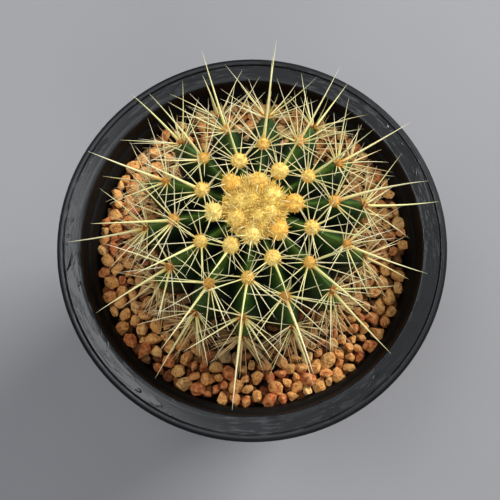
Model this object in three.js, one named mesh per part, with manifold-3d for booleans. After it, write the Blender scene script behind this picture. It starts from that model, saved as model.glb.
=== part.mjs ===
// A round, ribbed cactus in a nursery pot, with potting mix, roots and a dressing of clay granules.
// Millimetres, +Z up. The origin is the centre of the pot's base, on the surface that it stands on.
import * as THREE from 'three';
import { mergeVertices } from 'three/addons/utils/BufferGeometryUtils.js';
import Module from 'manifold-3d';

const wasm = await Module();
wasm.setup();

// ---- driving dimensions ------------------------------------------------------------------------

const GAP = 0.3; // left between pieces that touch
const SLIVER = 0.03; // faces thinner than this are dropped where joined shapes cross
const GOLDEN_ANGLE = Math.PI * (3 - Math.sqrt(5)); // spreads a row of things evenly over a disc

// pot
const RIM_RADIUS = 75;
const POT_HEIGHT = 120;
const BASE_RADIUS = 52;
const BASE_CORNER = 1.5;
const WALL = 2.2;
const FLOOR = 3;
const BAND_WIDTH = 9.5; // the flat band round the mouth, from its outer lip to the inner edge
const BAND_THICKNESS = 2.4;
const LIP = 1.8; // half the width of the rounded lip along the band's outer edge
const LIP_RISE = 0.5; // of the lip over the band
const SKIRT_DEPTH = 15; // how far the band's outer edge turns down
const LEDGE_DEPTH = 9; // the small stacking step inside the mouth, below the rim
const LEDGE_WIDTH = 1.2;
const LEAN_TO_LEDGE = 0.9; // how far the inner wall has come in at the step
const LEAN_TO_BED = 3; // and at the top of the granules
const POT_SIDES = 40;
const DRAIN_HOLES = 8;
const DRAIN_RADIUS = 4;
const DRAIN_CIRCLE = 34;
const CHANNEL_WIDTH = 6; // shallow grooves under the base that let the water out
const CHANNEL_DEPTH = 1.6;

// filling
const HEADSPACE = 15; // from the rim down to the granule bed
const BED_THICKNESS = 9;
const GRANULE_RADIUS = 2.9;
const GRANULES = 60;
const GRANULE_SEED = 11;

// plant
const RIBS = 14;
const FIRST_RIB_DEGREES = 6.2;
const PLANT_OFFSET = 0.9; // the plant's axis stands a little to +X of the pot's
const BODY_RADIUS = 39.5; // over the rib crests, at the widest
const CROWN_ABOVE_RIM = 54;
const EQUATOR_BELOW_CROWN = 26;
const BODY_LOWER_HEIGHT = 62; // of the lower curve, which the mix cuts short
const UPPER_FULLNESS = 2.6; // exponents of the two curves: 2 is an ellipse, more is squarer
const LOWER_FULLNESS = 2.3;
const RIB_DEPTH = 11;
const SAMPLES_PER_RIB = 4;
const BODY_ROWS = 15;

// areoles, the woolly cushions along the ribs that carry the spines. Each new pair turns by two ribs.
const FIRST_RIB_OF_PAIRS = 3;
const RIBS_PER_PAIR = 2;
const CROWN_PAIRS = 3; // the youngest pairs are still buried in the crown's wool
const PAIRS = 30;
const FIRST_AREOLE_ARC = 8.8; // along the crest from the crown's centre
const AREOLE_SPACING = 13.6; // along one rib
const AREOLE_LIFT = 1.4;
const LONGEST_SPINE = 28.5;
const OLD_SPINE = 0.55; // what the oldest areoles' spines keep of that length
const SPINE_FLOOR = 4; // outside the body, no spine reaches further below the rim than this
const SPINE_RADIUS = 0.6;
const SPINE_CLEARANCE = 0.35;
const THIN_SPINE = 0.7; // a radial spine's radius as a share of a central one's
const SPINE_TRIES = 90; // places tried for a spine, the first half of them at its full length
const PLANT_SEED = 5;

// crown wool
const WOOL_RADIUS = 11.2;
const WOOL_HEIGHT = 3.6;
const YOUNG_SPINES = 13;
const YOUNG_SPINE_LENGTH = 7;

// roots
const ROOT_NECK_RADIUS = 7;
const TAPROOT_DEPTH = 58;
const SIDE_ROOTS = 7;

const RIM_Z = POT_HEIGHT;
const BED_TOP = RIM_Z - HEADSPACE;
const BED_BOTTOM = BED_TOP - BED_THICKNESS;
const MIX_TOP = BED_BOTTOM - GAP;
const BODY_FOOT = MIX_TOP + GAP;
const CROWN_Z = RIM_Z + CROWN_ABOVE_RIM;
const EQUATOR_Z = CROWN_Z - EQUATOR_BELOW_CROWN;
const BAND_INNER = RIM_RADIUS - BAND_WIDTH;
const HALF_RIBS = RIBS / 2;

// ---- materials ---------------------------------------------------------------------------------

function finish(color, roughness, metalness = 0) {
  return new THREE.MeshStandardMaterial({ color, roughness, metalness });
}

const blackPlastic = () => finish(0x16181a, 0.32);
const darkMix = () => finish(0x2b2019, 0.95);
const firedClay = () => finish(0xc08a5a, 0.9);
const greenSkin = () => finish(0x2d5a2c, 0.55);
const goldenWool = () => finish(0xe0b458, 0.95);
const strawSpine = () => finish(0xe4d89a, 0.5);
const paleRoot = () => finish(0xb99f78, 0.85);

// ---- joining and cutting -----------------------------------------------------------------------

/** A manifold solid of a closed geometry. */
function solid(geometry) {
  const bare = geometry.index ? geometry.toNonIndexed() : geometry.clone();
  bare.deleteAttribute('normal');
  bare.deleteAttribute('uv');
  const merged = mergeVertices(bare, 1e-4);
  const corners = merged.index.array;
  const kept = [];
  for (let i = 0; i < corners.length; i += 3) {
    const [a, b, c] = corners.subarray(i, i + 3);
    if (a !== b && b !== c && c !== a) kept.push(a, b, c);
  }
  return new wasm.Manifold(new wasm.Mesh({
    numProp: 3,
    vertProperties: Float32Array.from(merged.attributes.position.array),
    triVerts: Uint32Array.from(kept),
  }));
}

/** The geometry of a manifold solid. */
function geometryOf(body) {
  const mesh = body.getMesh();
  const geometry = new THREE.BufferGeometry();
  const points = Float32Array.from(mesh.vertProperties);
  geometry.setAttribute('position', new THREE.BufferAttribute(points, 3));
  geometry.setIndex(new THREE.BufferAttribute(Uint32Array.from(mesh.triVerts), 1));
  return geometry;
}

/** One solid of several, without the slivers where their faces cross. */
function joined(geometries) {
  return geometries.map(solid).reduce((whole, next) => whole.add(next)).simplify(SLIVER);
}

/** A solid turned round +Z from an outline of [radius, height] points that starts and ends on the axis. */
function turned(outline, sides) {
  const lathe = new THREE.LatheGeometry(outline.map(([r, z]) => new THREE.Vector2(r, z)), sides);
  return lathe.rotateX(Math.PI / 2);
}

function smoothstep(low, high, x) {
  return THREE.MathUtils.smoothstep(x, low, high);
}

/** Repeatable random numbers from 0 to 1, so that every run grows the same plant. */
function randomSource(seed) {
  let state = seed;
  return () => {
    state = (state * 16807) % 2147483647;
    return state / 2147483647;
  };
}

// ---- pot ---------------------------------------------------------------------------------------

/** The pot's inner wall, from the rim's inner edge down to the floor. */
function innerWall() {
  return [
    [BAND_INNER + WALL / 2, RIM_Z - 0.2],
    [BAND_INNER, RIM_Z - WALL / 2],
    [BAND_INNER - LEAN_TO_LEDGE, RIM_Z - LEDGE_DEPTH],
    [BAND_INNER - LEAN_TO_LEDGE - LEDGE_WIDTH, RIM_Z - LEDGE_DEPTH - LEDGE_WIDTH / 2],
    [BAND_INNER - LEAN_TO_BED, BED_TOP],
    [BASE_RADIUS - WALL, FLOOR],
  ];
}

function innerRadiusAt(z) {
  const wall = innerWall();
  const lower = wall.findIndex(([, height]) => height <= z);
  const [[r0, z0], [r1, z1]] = [wall[Math.max(lower - 1, 0)], wall[Math.max(lower, 1)]];
  return r0 + ((r1 - r0) * (z - z0)) / (z1 - z0);
}

function pot() {
  const outline = [
    [0, 0],
    [BASE_RADIUS - BASE_CORNER, 0],
    [BASE_RADIUS, BASE_CORNER],
    [BAND_INNER - LEAN_TO_BED + WALL, BED_TOP],
    [BAND_INNER - LEAN_TO_LEDGE + WALL, RIM_Z - LEDGE_DEPTH],
    [BAND_INNER + WALL, RIM_Z - BAND_THICKNESS],
    [RIM_RADIUS - WALL, RIM_Z - BAND_THICKNESS],
    [RIM_RADIUS - WALL, RIM_Z - SKIRT_DEPTH],
    [RIM_RADIUS, RIM_Z - SKIRT_DEPTH],
    [RIM_RADIUS, RIM_Z - LIP],
    [RIM_RADIUS - LIP * 0.4, RIM_Z - LIP_RISE],
    [RIM_RADIUS - LIP, RIM_Z],
    [RIM_RADIUS - LIP * 1.7, RIM_Z - LIP_RISE],
    ...innerWall(),
    [0, FLOOR],
  ];
  let body = solid(turned(outline, POT_SIDES));
  for (let i = 0; i < DRAIN_HOLES; i += 1) {
    const angle = (i / DRAIN_HOLES) * 2 * Math.PI;
    const hole = new THREE.CylinderGeometry(DRAIN_RADIUS, DRAIN_RADIUS, 4 * FLOOR, 12);
    hole.rotateX(Math.PI / 2).translate(DRAIN_CIRCLE, 0, 0).rotateZ(angle);
    const reach = BASE_RADIUS - DRAIN_CIRCLE + 2;
    const channel = new THREE.BoxGeometry(reach, CHANNEL_WIDTH, 2 * CHANNEL_DEPTH);
    channel.translate(DRAIN_CIRCLE + reach / 2, 0, 0).rotateZ(angle);
    body = body.subtract(solid(hole)).subtract(solid(channel));
  }
  return geometryOf(body);
}

// ---- plant body --------------------------------------------------------------------------------

/** One curve of the body's outline, from the crown's centre (or the equator) outwards and down. */
function bodyCurve(height, fullness, fromAngle, toAngle, steps) {
  const points = [];
  for (let i = 0; i <= steps; i += 1) {
    const angle = fromAngle + ((toAngle - fromAngle) * i) / steps;
    const cosine = Math.cos(angle);
    const r = BODY_RADIUS * Math.sin(angle) ** (2 / fullness);
    const z = EQUATOR_Z + height * Math.sign(cosine) * Math.abs(cosine) ** (2 / fullness);
    points.push([r, z]);
  }
  return points;
}

/** The outline over a rib's crest: arc length, radius, height, and the normal's two shares. */
function crestOutline() {
  const steps = 160;
  const upper = bodyCurve(EQUATOR_BELOW_CROWN, UPPER_FULLNESS, 0, Math.PI / 2, steps);
  const lower = bodyCurve(BODY_LOWER_HEIGHT, LOWER_FULLNESS, Math.PI / 2, Math.PI, steps);
  const points = [...upper, ...lower.slice(1).filter(([, z]) => z > BODY_FOOT)];
  let arc = 0;
  return points.map(([r, z], i) => {
    const before = points[Math.max(i - 1, 0)];
    const after = points[Math.min(i + 1, points.length - 1)];
    arc += Math.hypot(r - before[0], z - before[1]);
    const length = Math.hypot(after[0] - before[0], after[1] - before[1]);
    return { arc, r, z, out: (before[1] - after[1]) / length, up: (after[0] - before[0]) / length };
  });
}

const CREST = crestOutline();
const CREST_LENGTH = CREST.at(-1).arc;

/** The crest's radius, height and normal at an arc length from the crown's centre. */
function crestAt(arc) {
  const after = Math.max(CREST.findIndex((point) => point.arc >= arc), 1);
  const [a, b] = [CREST[after - 1], CREST[after]];
  const t = (arc - a.arc) / (b.arc - a.arc);
  const mix = (key) => a[key] + (b[key] - a[key]) * t;
  return { r: mix('r'), z: mix('z'), out: mix('out'), up: mix('up') };
}

/** How far the valley between two ribs lies below the crests. */
function valleyDepth(arc, radius) {
  const grown = RIB_DEPTH * smoothstep(3, 26, arc);
  const worn = 1 - 0.35 * smoothstep(60, CREST_LENGTH, arc);
  return Math.min(grown * worn, 0.4 * radius);
}

function ribAngle(rib) {
  return THREE.MathUtils.degToRad(FIRST_RIB_DEGREES) + (rib / RIBS) * 2 * Math.PI;
}

/** A sphere whose rows become the outline's and whose columns become crests and valleys. */
function cactusBody() {
  const geometry = new THREE.SphereGeometry(1, RIBS * SAMPLES_PER_RIB, BODY_ROWS);
  const { position, uv } = geometry.attributes;
  for (let i = 0; i < position.count; i += 1) {
    const row = Math.round((1 - uv.getY(i)) * BODY_ROWS);
    const column = Math.round(uv.getX(i) * RIBS * SAMPLES_PER_RIB);
    const arc = (Math.min(row, BODY_ROWS - 1) / (BODY_ROWS - 1)) * CREST_LENGTH;
    const crest = crestAt(arc);
    const share = Math.abs((column % SAMPLES_PER_RIB) / SAMPLES_PER_RIB - 0.5) * 2; // 1 on a crest
    const depth = valleyDepth(arc, crest.r) * (1 - share);
    const atPole = row === 0 || row === BODY_ROWS;
    const radius = atPole ? 0 : crest.r - crest.out * depth;
    const angle = ribAngle(column / SAMPLES_PER_RIB);
    const height = row === BODY_ROWS ? BODY_FOOT : crest.z - crest.up * depth;
    position.setXYZ(i, radius * Math.cos(angle), radius * Math.sin(angle), Math.max(height, BODY_FOOT));
  }
  return geometryOf(solid(geometry));
}

// ---- areoles and their spines --------------------------------------------------------------------

/** One areole's place and directions: out of the skin, down its rib and sideways. */
function areole(pair, side, random) {
  const age = pair / HALF_RIBS; // in steps along one rib
  const rib = ((FIRST_RIB_OF_PAIRS + RIBS_PER_PAIR * pair) % HALF_RIBS) + HALF_RIBS * side;
  const arc = FIRST_AREOLE_ARC + AREOLE_SPACING * age + (random() - 0.5);
  const crest = crestAt(arc);
  const angle = ribAngle(rib) + (random() - 0.5) * 0.03;
  const [c, s] = [Math.cos(angle), Math.sin(angle)];
  const normal = new THREE.Vector3(crest.out * c, crest.out * s, crest.up);
  const down = new THREE.Vector3(crest.up * c, crest.up * s, -crest.out);
  const sideways = new THREE.Vector3().crossVectors(normal, down);
  const skin = new THREE.Vector3(crest.r * c, crest.r * s, crest.z);
  const centre = skin.addScaledVector(normal, AREOLE_LIFT);
  const radius = THREE.MathUtils.lerp(3.1, 2.1, smoothstep(0.4, 3.5, age));
  return { pair, rib, age, centre, normal, down, sideways, radius };
}

/** Each spine's clock angle from "down the rib", lean from the skin's normal, and share of the length. */
const SPINE_PLAN = [
  [0, 50, 1],
  [74, 50, 0.74],
  [-74, 50, 0.74],
  [180, 44, 0.62],
  [28, 72, 0.66],
  [-28, 72, 0.66],
  [68, 76, 0.62],
  [-68, 76, 0.62],
  [112, 75, 0.58],
  [-112, 75, 0.58],
];
const CENTRAL_SPINES = 4; // the first ones of the plan are the thick middle spines

function spineDirection(at, clock, lean) {
  const [turn, tilt] = [THREE.MathUtils.degToRad(clock), THREE.MathUtils.degToRad(lean)];
  return new THREE.Vector3()
    .addScaledVector(at.normal, Math.cos(tilt))
    .addScaledVector(at.down, Math.sin(tilt) * Math.cos(turn))
    .addScaledVector(at.sideways, Math.sin(tilt) * Math.sin(turn));
}

/** The smallest distance between two straight stretches. */
function stretchGap(p, q) {
  const [u, v, w] = [p.vector, q.vector, new THREE.Vector3().subVectors(p.from, q.from)];
  const [uu, uv, vv, uw, vw] = [u.dot(u), u.dot(v), v.dot(v), u.dot(w), v.dot(w)];
  const clamp = (x) => Math.min(Math.max(x, 0), 1);
  const cross = uu * vv - uv * uv;
  let s = cross > 1e-9 ? clamp((uv * vw - vv * uw) / cross) : 0;
  const t = vv > 1e-9 ? clamp((uv * s + vw) / vv) : 0;
  s = uu > 1e-9 ? clamp((uv * t - uw) / uu) : 0;
  return w.addScaledVector(u, s).addScaledVector(v, -t).length();
}

/** How far a point lies outside the body's crests. */
function skinGap(point) {
  const r = Math.hypot(point.x, point.y);
  let nearest = { gap: Infinity, sign: 1 };
  for (const crest of CREST) {
    const gap = Math.hypot(r - crest.r, point.z - crest.z);
    if (gap < nearest.gap) {
      nearest = { gap, sign: Math.sign((r - crest.r) * crest.out + (point.z - crest.z) * crest.up) };
    }
  }
  return nearest.gap * nearest.sign;
}

/** Whether a spine stays off the skin and out of the pot's headspace. */
function standsFree(stretch) {
  for (const t of [0.35, 0.6, 0.8, 1]) {
    const point = stretch.from.clone().addScaledVector(stretch.vector, t);
    const reach = Math.hypot(point.x + PLANT_OFFSET, point.y);
    const inHeadspace = reach > BODY_RADIUS + 4 && point.z < RIM_Z - SPINE_FLOOR;
    const onBand = reach > BAND_INNER - 4 && point.z < RIM_Z + 3;
    if (skinGap(point) < 1 || inHeadspace || onBand) return false;
  }
  return true;
}

/** The spines of one areole, each turned a little, and at last shortened, until it clears all others. */
function growSpines(at, placed, plan, random) {
  const young = 0.42 + 0.58 * smoothstep(0, 1.3, at.age);
  const grown = young * THREE.MathUtils.lerp(1, OLD_SPINE, smoothstep(1.9, 3.4, at.age));
  const spines = [];
  plan.forEach(([clock, lean, share], index) => {
    const radius = index < CENTRAL_SPINES ? SPINE_RADIUS : SPINE_RADIUS * THIN_SPINE;
    const wanted = LONGEST_SPINE * share * grown * (0.92 + 0.16 * random());
    for (let attempt = 0; attempt < SPINE_TRIES; attempt += 1) {
      const spread = Math.sqrt(attempt);
      const swing = attempt * GOLDEN_ANGLE;
      const direction = spineDirection(
        at,
        clock + 2.6 * spread * Math.cos(swing) + 6 * (random() - 0.5),
        lean + 1.1 * spread * Math.sin(swing),
      );
      const length = wanted * Math.min(1, 1.64 - (1.28 * attempt) / SPINE_TRIES);
      const stretch = { from: at.centre, vector: direction.multiplyScalar(length), radius, owner: at };
      const clear = placed.every((other) => other.owner === at
        || stretchGap(stretch, other) > radius + other.radius + SPINE_CLEARANCE);
      if (clear && standsFree(stretch)) {
        spines.push(stretch);
        placed.push(stretch);
        break;
      }
    }
  });
  return spines;
}

/** The turn that brings one direction onto another. */
function turnBetween(from, to) {
  return new THREE.Quaternion().setFromUnitVectors(from, to.clone().normalize());
}

/** A cone from its root's centre to its tip. */
function needle({ from, vector, radius }) {
  const length = vector.length();
  const cone = new THREE.ConeGeometry(radius, length, 3).translate(0, length / 2, 0);
  const turn = turnBetween(new THREE.Vector3(0, 1, 0), vector);
  return cone.applyQuaternion(turn).translate(from.x, from.y, from.z);
}

/** An areole's woolly cushion, flattened along the skin's normal. */
function cushion(at) {
  const ball = new THREE.SphereGeometry(at.radius, 6, 2).rotateX(Math.PI / 2);
  ball.scale(1, 1, (AREOLE_LIFT - GAP) / at.radius);
  const turn = turnBetween(new THREE.Vector3(0, 0, 1), at.normal);
  return ball.applyQuaternion(turn).translate(at.centre.x, at.centre.y, at.centre.z);
}

function cushionObstacle(at) {
  return { from: at.centre, vector: new THREE.Vector3(), radius: at.radius, owner: at };
}

// ---- crown wool ----------------------------------------------------------------------------------

/** The felted dome over the growing point, with the youngest areoles and their short spines in it. */
function crownWool(areoles, spines) {
  const foot = CROWN_Z + GAP;
  const dome = turned([
    [0, foot],
    [WOOL_RADIUS - 0.8, foot],
    [WOOL_RADIUS, foot + 1],
    [WOOL_RADIUS * 0.8, foot + WOOL_HEIGHT * 0.75],
    [WOOL_RADIUS * 0.4, foot + WOOL_HEIGHT],
    [0, foot + WOOL_HEIGHT],
  ], 20);
  return geometryOf(joined([dome, ...areoles.map(cushion), ...spines.map(needle)]));
}

/** Short upright spines all over the wool, leaning out from its centre. */
function youngSpines(owner, placed, random) {
  const spines = [];
  for (let i = 0; i < YOUNG_SPINES; i += 1) {
    const reach = WOOL_RADIUS * 0.85 * Math.sqrt((i + 0.5) / YOUNG_SPINES);
    const angle = i * GOLDEN_ANGLE;
    const from = new THREE.Vector3(reach * Math.cos(angle), reach * Math.sin(angle), CROWN_Z + 1.5);
    const vector = new THREE.Vector3(from.x * 0.045, from.y * 0.045, 1).normalize();
    vector.multiplyScalar(YOUNG_SPINE_LENGTH + 0.5 * reach + 3 * random());
    const stretch = { from, vector, radius: SPINE_RADIUS * 0.8, owner };
    const clear = placed.every((other) => other.owner.pair < CROWN_PAIRS
      || stretchGap(stretch, other) > stretch.radius + other.radius + SPINE_CLEARANCE);
    if (clear) {
      spines.push(stretch);
      placed.push(stretch);
    }
  }
  return spines;
}

// ---- roots, potting mix and granules -------------------------------------------------------------

/** A cylinder bent along a curve, from one radius to another. */
function taperedTube(curve, startRadius, endRadius, sides, steps) {
  const tube = new THREE.CylinderGeometry(endRadius, startRadius, 1, sides, steps);
  const frames = curve.computeFrenetFrames(steps);
  const { position } = tube.attributes;
  for (let i = 0; i < position.count; i += 1) {
    const step = Math.round((position.getY(i) + 0.5) * steps);
    const point = curve.getPoint(step / steps)
      .addScaledVector(frames.normals[step], position.getX(i))
      .addScaledVector(frames.binormals[step], -position.getZ(i));
    position.setXYZ(i, point.x, point.y, point.z);
  }
  return tube;
}

/** The taproot and side roots, made thicker by "extra" to cut their own room in the potting mix. */
function rootSolid(extra) {
  const top = BODY_FOOT - GAP + extra;
  const tap = taperedTube(new THREE.CatmullRomCurve3([
    new THREE.Vector3(0, 0, top),
    new THREE.Vector3(1, -0.5, top - TAPROOT_DEPTH * 0.4),
    new THREE.Vector3(3, 2, BODY_FOOT - TAPROOT_DEPTH - extra),
  ]), ROOT_NECK_RADIUS + extra, 1.4 + extra, 8, 4);
  const roots = [tap];
  for (let i = 0; i < SIDE_ROOTS; i += 1) {
    const angle = (i / SIDE_ROOTS) * 2 * Math.PI + 0.3;
    const start = BODY_FOOT - 9 - 4 * (i % 3);
    const reach = 33 + 4 * (i % 3) + extra;
    const along = (r, z, swing) => new THREE.Vector3(
      r * Math.cos(angle + swing),
      r * Math.sin(angle + swing),
      z,
    );
    const curve = new THREE.CatmullRomCurve3([
      along(1, start, 0),
      along(reach * 0.5, start - 7, 0.14),
      along(reach, start - 26 - 5 * (i % 2), -0.06),
    ]);
    roots.push(taperedTube(curve, 2.4 + extra, 0.8 + extra, 6, 4));
  }
  return joined(roots);
}

function pottingMix() {
  const outline = [
    [0, FLOOR + GAP],
    [BASE_RADIUS - WALL - GAP, FLOOR + GAP],
    [innerRadiusAt(MIX_TOP) - GAP, MIX_TOP],
    [0, MIX_TOP],
  ];
  return geometryOf(solid(turned(outline, POT_SIDES)).subtract(rootSolid(GAP)));
}

/** A ring of granules round the plant, packed into one bed. */
function granuleBed(random) {
  const stemRadius = CREST.find(({ z }) => z <= BED_TOP).r + PLANT_OFFSET + GAP;
  const outline = [
    [stemRadius, BED_BOTTOM],
    [innerRadiusAt(BED_BOTTOM) - GAP, BED_BOTTOM],
    [innerRadiusAt(BED_TOP) - GAP, BED_TOP],
    [stemRadius, BED_TOP],
    [stemRadius, BED_BOTTOM],
  ];
  const pieces = [turned(outline, POT_SIDES)];
  const inner = stemRadius + GRANULE_RADIUS + 1;
  const outer = innerRadiusAt(BED_TOP) - GRANULE_RADIUS - 1;
  for (let i = 0; i < GRANULES; i += 1) {
    const r = Math.sqrt(inner ** 2 + ((outer ** 2 - inner ** 2) * (i + 0.5)) / GRANULES);
    const angle = i * GOLDEN_ANGLE;
    const grain = new THREE.IcosahedronGeometry(GRANULE_RADIUS * (0.85 + 0.2 * random()), 0);
    grain.scale(1, 0.8 + 0.2 * random(), 0.8).rotateZ(6 * random());
    pieces.push(grain.translate(r * Math.cos(angle), r * Math.sin(angle), BED_TOP + 0.4 * random()));
  }
  return geometryOf(joined(pieces));
}

// ---- assembly ------------------------------------------------------------------------------------

function piece(name, geometry, material) {
  const mesh = new THREE.Mesh(geometry, material);
  mesh.name = name;
  return mesh;
}

const part = new THREE.Group();
part.add(piece('pot', pot(), blackPlastic()));
part.add(piece('potting_mix', pottingMix(), darkMix()));
part.add(piece('gravel_dressing', granuleBed(randomSource(GRANULE_SEED)), firedClay()));
part.add(piece('root_system', geometryOf(rootSolid(0)), paleRoot()));

const plant = new THREE.Group();
plant.position.x = PLANT_OFFSET;
part.add(plant);
plant.add(piece('cactus_body', cactusBody(), greenSkin()));

const random = randomSource(PLANT_SEED);
const areoles = [];
for (let pair = 0; pair < PAIRS; pair += 1) {
  areoles.push(areole(pair, 0, random), areole(pair, 1, random));
}
const crownAreoles = areoles.filter((at) => at.pair < CROWN_PAIRS);
const placed = areoles.map(cushionObstacle);
const crownSpines = crownAreoles.flatMap((at) => growSpines(at, placed, SPINE_PLAN.slice(0, 6), random));
crownSpines.push(...youngSpines(crownAreoles[0], placed, random));
plant.add(piece('crown_wool', crownWool(crownAreoles, crownSpines), goldenWool()));

for (const at of areoles.filter(({ pair }) => pair >= CROWN_PAIRS)) {
  const spines = growSpines(at, placed, SPINE_PLAN, random);
  const cluster = joined([cushion(at), ...spines.map(needle)]);
  const label = `${String(at.pair).padStart(2, '0')}_rib_${String(at.rib + 1).padStart(2, '0')}`;
  plant.add(piece(`spine_cluster_${label}`, geometryOf(cluster), strawSpine()));
}

export default part;
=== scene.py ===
# The looks of a round, ribbed cactus in a nursery pot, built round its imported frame.
# Metres, +Z up. The origin is the centre of the pot's base, on the surface that it stands on.
import math
import random

import bpy
import numpy as np
from bpy.props import FloatProperty, FloatVectorProperty, IntProperty, PointerProperty
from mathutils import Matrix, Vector, noise


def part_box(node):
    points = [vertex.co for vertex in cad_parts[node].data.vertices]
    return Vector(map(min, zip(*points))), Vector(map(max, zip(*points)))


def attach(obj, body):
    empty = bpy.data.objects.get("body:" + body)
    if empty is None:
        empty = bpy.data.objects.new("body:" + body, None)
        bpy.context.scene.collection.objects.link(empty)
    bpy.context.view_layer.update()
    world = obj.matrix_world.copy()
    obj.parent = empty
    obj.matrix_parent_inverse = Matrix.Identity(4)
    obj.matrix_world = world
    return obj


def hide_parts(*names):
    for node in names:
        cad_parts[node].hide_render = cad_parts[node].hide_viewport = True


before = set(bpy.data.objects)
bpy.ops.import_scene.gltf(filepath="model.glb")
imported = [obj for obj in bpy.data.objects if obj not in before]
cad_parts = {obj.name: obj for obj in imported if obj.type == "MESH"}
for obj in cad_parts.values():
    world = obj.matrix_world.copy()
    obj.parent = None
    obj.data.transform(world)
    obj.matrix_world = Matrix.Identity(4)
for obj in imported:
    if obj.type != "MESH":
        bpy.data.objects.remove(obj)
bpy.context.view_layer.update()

bl_info = {
    "name": "Potted Round Cactus",
    "version": (1, 0, 0),
    "blender": (4, 5, 0),
    "location": "View3D > Sidebar > Cactus",
    "description": "Models a ribbed round cactus with its spines, wool, granules and pot",
    "category": "Add Mesh",
}

BODY = "root"
MM = 0.001
CLOSE = 0.002 * MM
TURN = 2 * math.pi
GOLDEN_ANGLE = math.pi * (3 - math.sqrt(5))
UP = np.array([0.0, 0.0, 1.0])

POT_LOW, POT_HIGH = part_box("pot")
STEM_LOW, STEM_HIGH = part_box("cactus_body")
BED_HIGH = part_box("gravel_dressing")[1]
PLANT_X = (STEM_LOW.x + STEM_HIGH.x) / 2

# How the areoles follow each other: each new pair sits RIBS_PER_PAIR on, the first CROWN_PAIRS are still in
# the crown's wool, and the frame holds the first FRAME_PAIRS.
RIBS = 14
RIBS_PER_SIDE = RIBS // 2
FIRST_RIB_OF_PAIRS = 3
RIBS_PER_PAIR = 2
CROWN_PAIRS = 3
YOUNG_PAIRS = 12
FRAME_PAIRS = 30
LAST_PAIR = 60
FIRST_AREOLE_ARC = 8.8 * MM
AREOLE_SPACING = 13.6 * MM
AREOLE_JITTER = 1 * MM
RIB_JITTER = 0.03
PLANT_SEED = 5

# Where the water lies on the band, in degrees round the pot: on one side the film is thicker, partly real wet
# film and partly a painted reflection. Each drop has a heading, its distance from the pot's axis, half its
# length and width in mm, its slant off the band's own direction, and its bend.
WET_AND_REFLECTION_SIDE = 200
PUDDLE_SIDE = 209
BAND_DROPS = [
    (187, 69.4, 5.4, 1.3, -22, 0.9),
    (173, 69.8, 0.7, 0.5, 10, 0),
    (178, 71.0, 0.8, 0.5, 0, 0),
    (180.6, 71.0, 0.5, 0.4, 0, 0),
    (194, 67.6, 1.1, 0.5, -30, 0.4),
    (233, 70.2, 1.6, 0.8, 8, 0.2),
    (312, 68.6, 2.2, 0.8, 12, 0.3),
    (41, 70.6, 1.5, 0.9, -15, 0.2),
]

# Each spine's clock angle from "down the rib", its lean from the skin's normal, and its share of the length.
SPINE_PLAN = [
    (0, 50, 1),
    (74, 50, 0.74),
    (-74, 50, 0.74),
    (180, 44, 0.62),
    (28, 72, 0.66),
    (-28, 72, 0.66),
    (68, 76, 0.62),
    (-68, 76, 0.62),
    (112, 75, 0.58),
    (-112, 75, 0.58),
]

# More short spines of the same kind, which scene.py adds to those of each areole in the frame.
UPPER_RADIALS = [
    (152, 72, 0.4),
    (-150, 70, 0.42),
    (132, 62, 0.5),
    (-128, 66, 0.48),
    (48, 66, 0.6),
]


def tone(red, green, blue):
    """A linear colour from 0 to 255 screen values."""
    def linear(value):
        share = value / 255
        return share / 12.92 if share <= 0.04045 else ((share + 0.055) / 1.055) ** 2.4
    return (linear(red), linear(green), linear(blue))


def length(label, text, default):
    return FloatProperty(name=label, description=text, default=default, min=0, unit="LENGTH", precision=5)


def factor(label, text, default):
    return FloatProperty(name=label, description=text, default=default, min=0, max=1, subtype="FACTOR")


def number(label, text, default):
    return FloatProperty(name=label, description=text, default=default, min=0)


def degrees(label, text, default):
    return FloatProperty(name=label, description=text, default=math.radians(default), subtype="ANGLE")


def watts(label, text, default):
    return FloatProperty(name=label, description=text, default=default, min=0, unit="POWER")


def how_many(label, text, default):
    return IntProperty(name=label, description=text, default=default, min=1)


def colour(label, text, default):
    return FloatVectorProperty(
        name=label, description=text, default=default, min=0, max=1, size=3, subtype="COLOR")


# ---- settings ------------------------------------------------------------------------------------

class PotSettings(bpy.types.PropertyGroup):
    rim_radius: length("Rim radius", "Outside radius of the rim", (POT_HIGH.x - POT_LOW.x) / 2)
    height: length("Height", "Height of the pot", POT_HIGH.z)
    base_radius: length("Base radius", "Outside radius of the base", 52 * MM)
    wall: length("Wall", "Thickness of the wall", 2.2 * MM)
    floor: length("Floor", "Thickness of the floor", 3 * MM)
    band_width: length("Band width", "Width of the flat band round the mouth", 9.5 * MM)
    skirt_depth: length("Skirt depth", "How far the band's outer edge turns down", 15 * MM)
    drain_radius: length("Drain radius", "Radius of a drain hole", 4 * MM)
    plastic: colour("Plastic", "Colour of the pot", (0.0075, 0.0085, 0.0100))
    film: colour("Dried film", "Colour of the mineral film on the wet band", (0.018, 0.020, 0.023))


class GranuleSettings(bpy.types.PropertyGroup):
    radius: length("Radius", "Mean radius of a granule", 2.8 * MM)
    top_count: how_many("Top layer", "Granules in the top layer", 470)
    under_count: how_many("Under layer", "Granules in the layer below", 430)
    pale: colour("Pale clay", "Colour of the palest granules", tone(255, 222, 154))
    middle: colour("Clay", "Colour of most granules", tone(252, 178, 98))
    red: colour("Red clay", "Colour of the reddest granules", tone(222, 122, 66))


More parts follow.
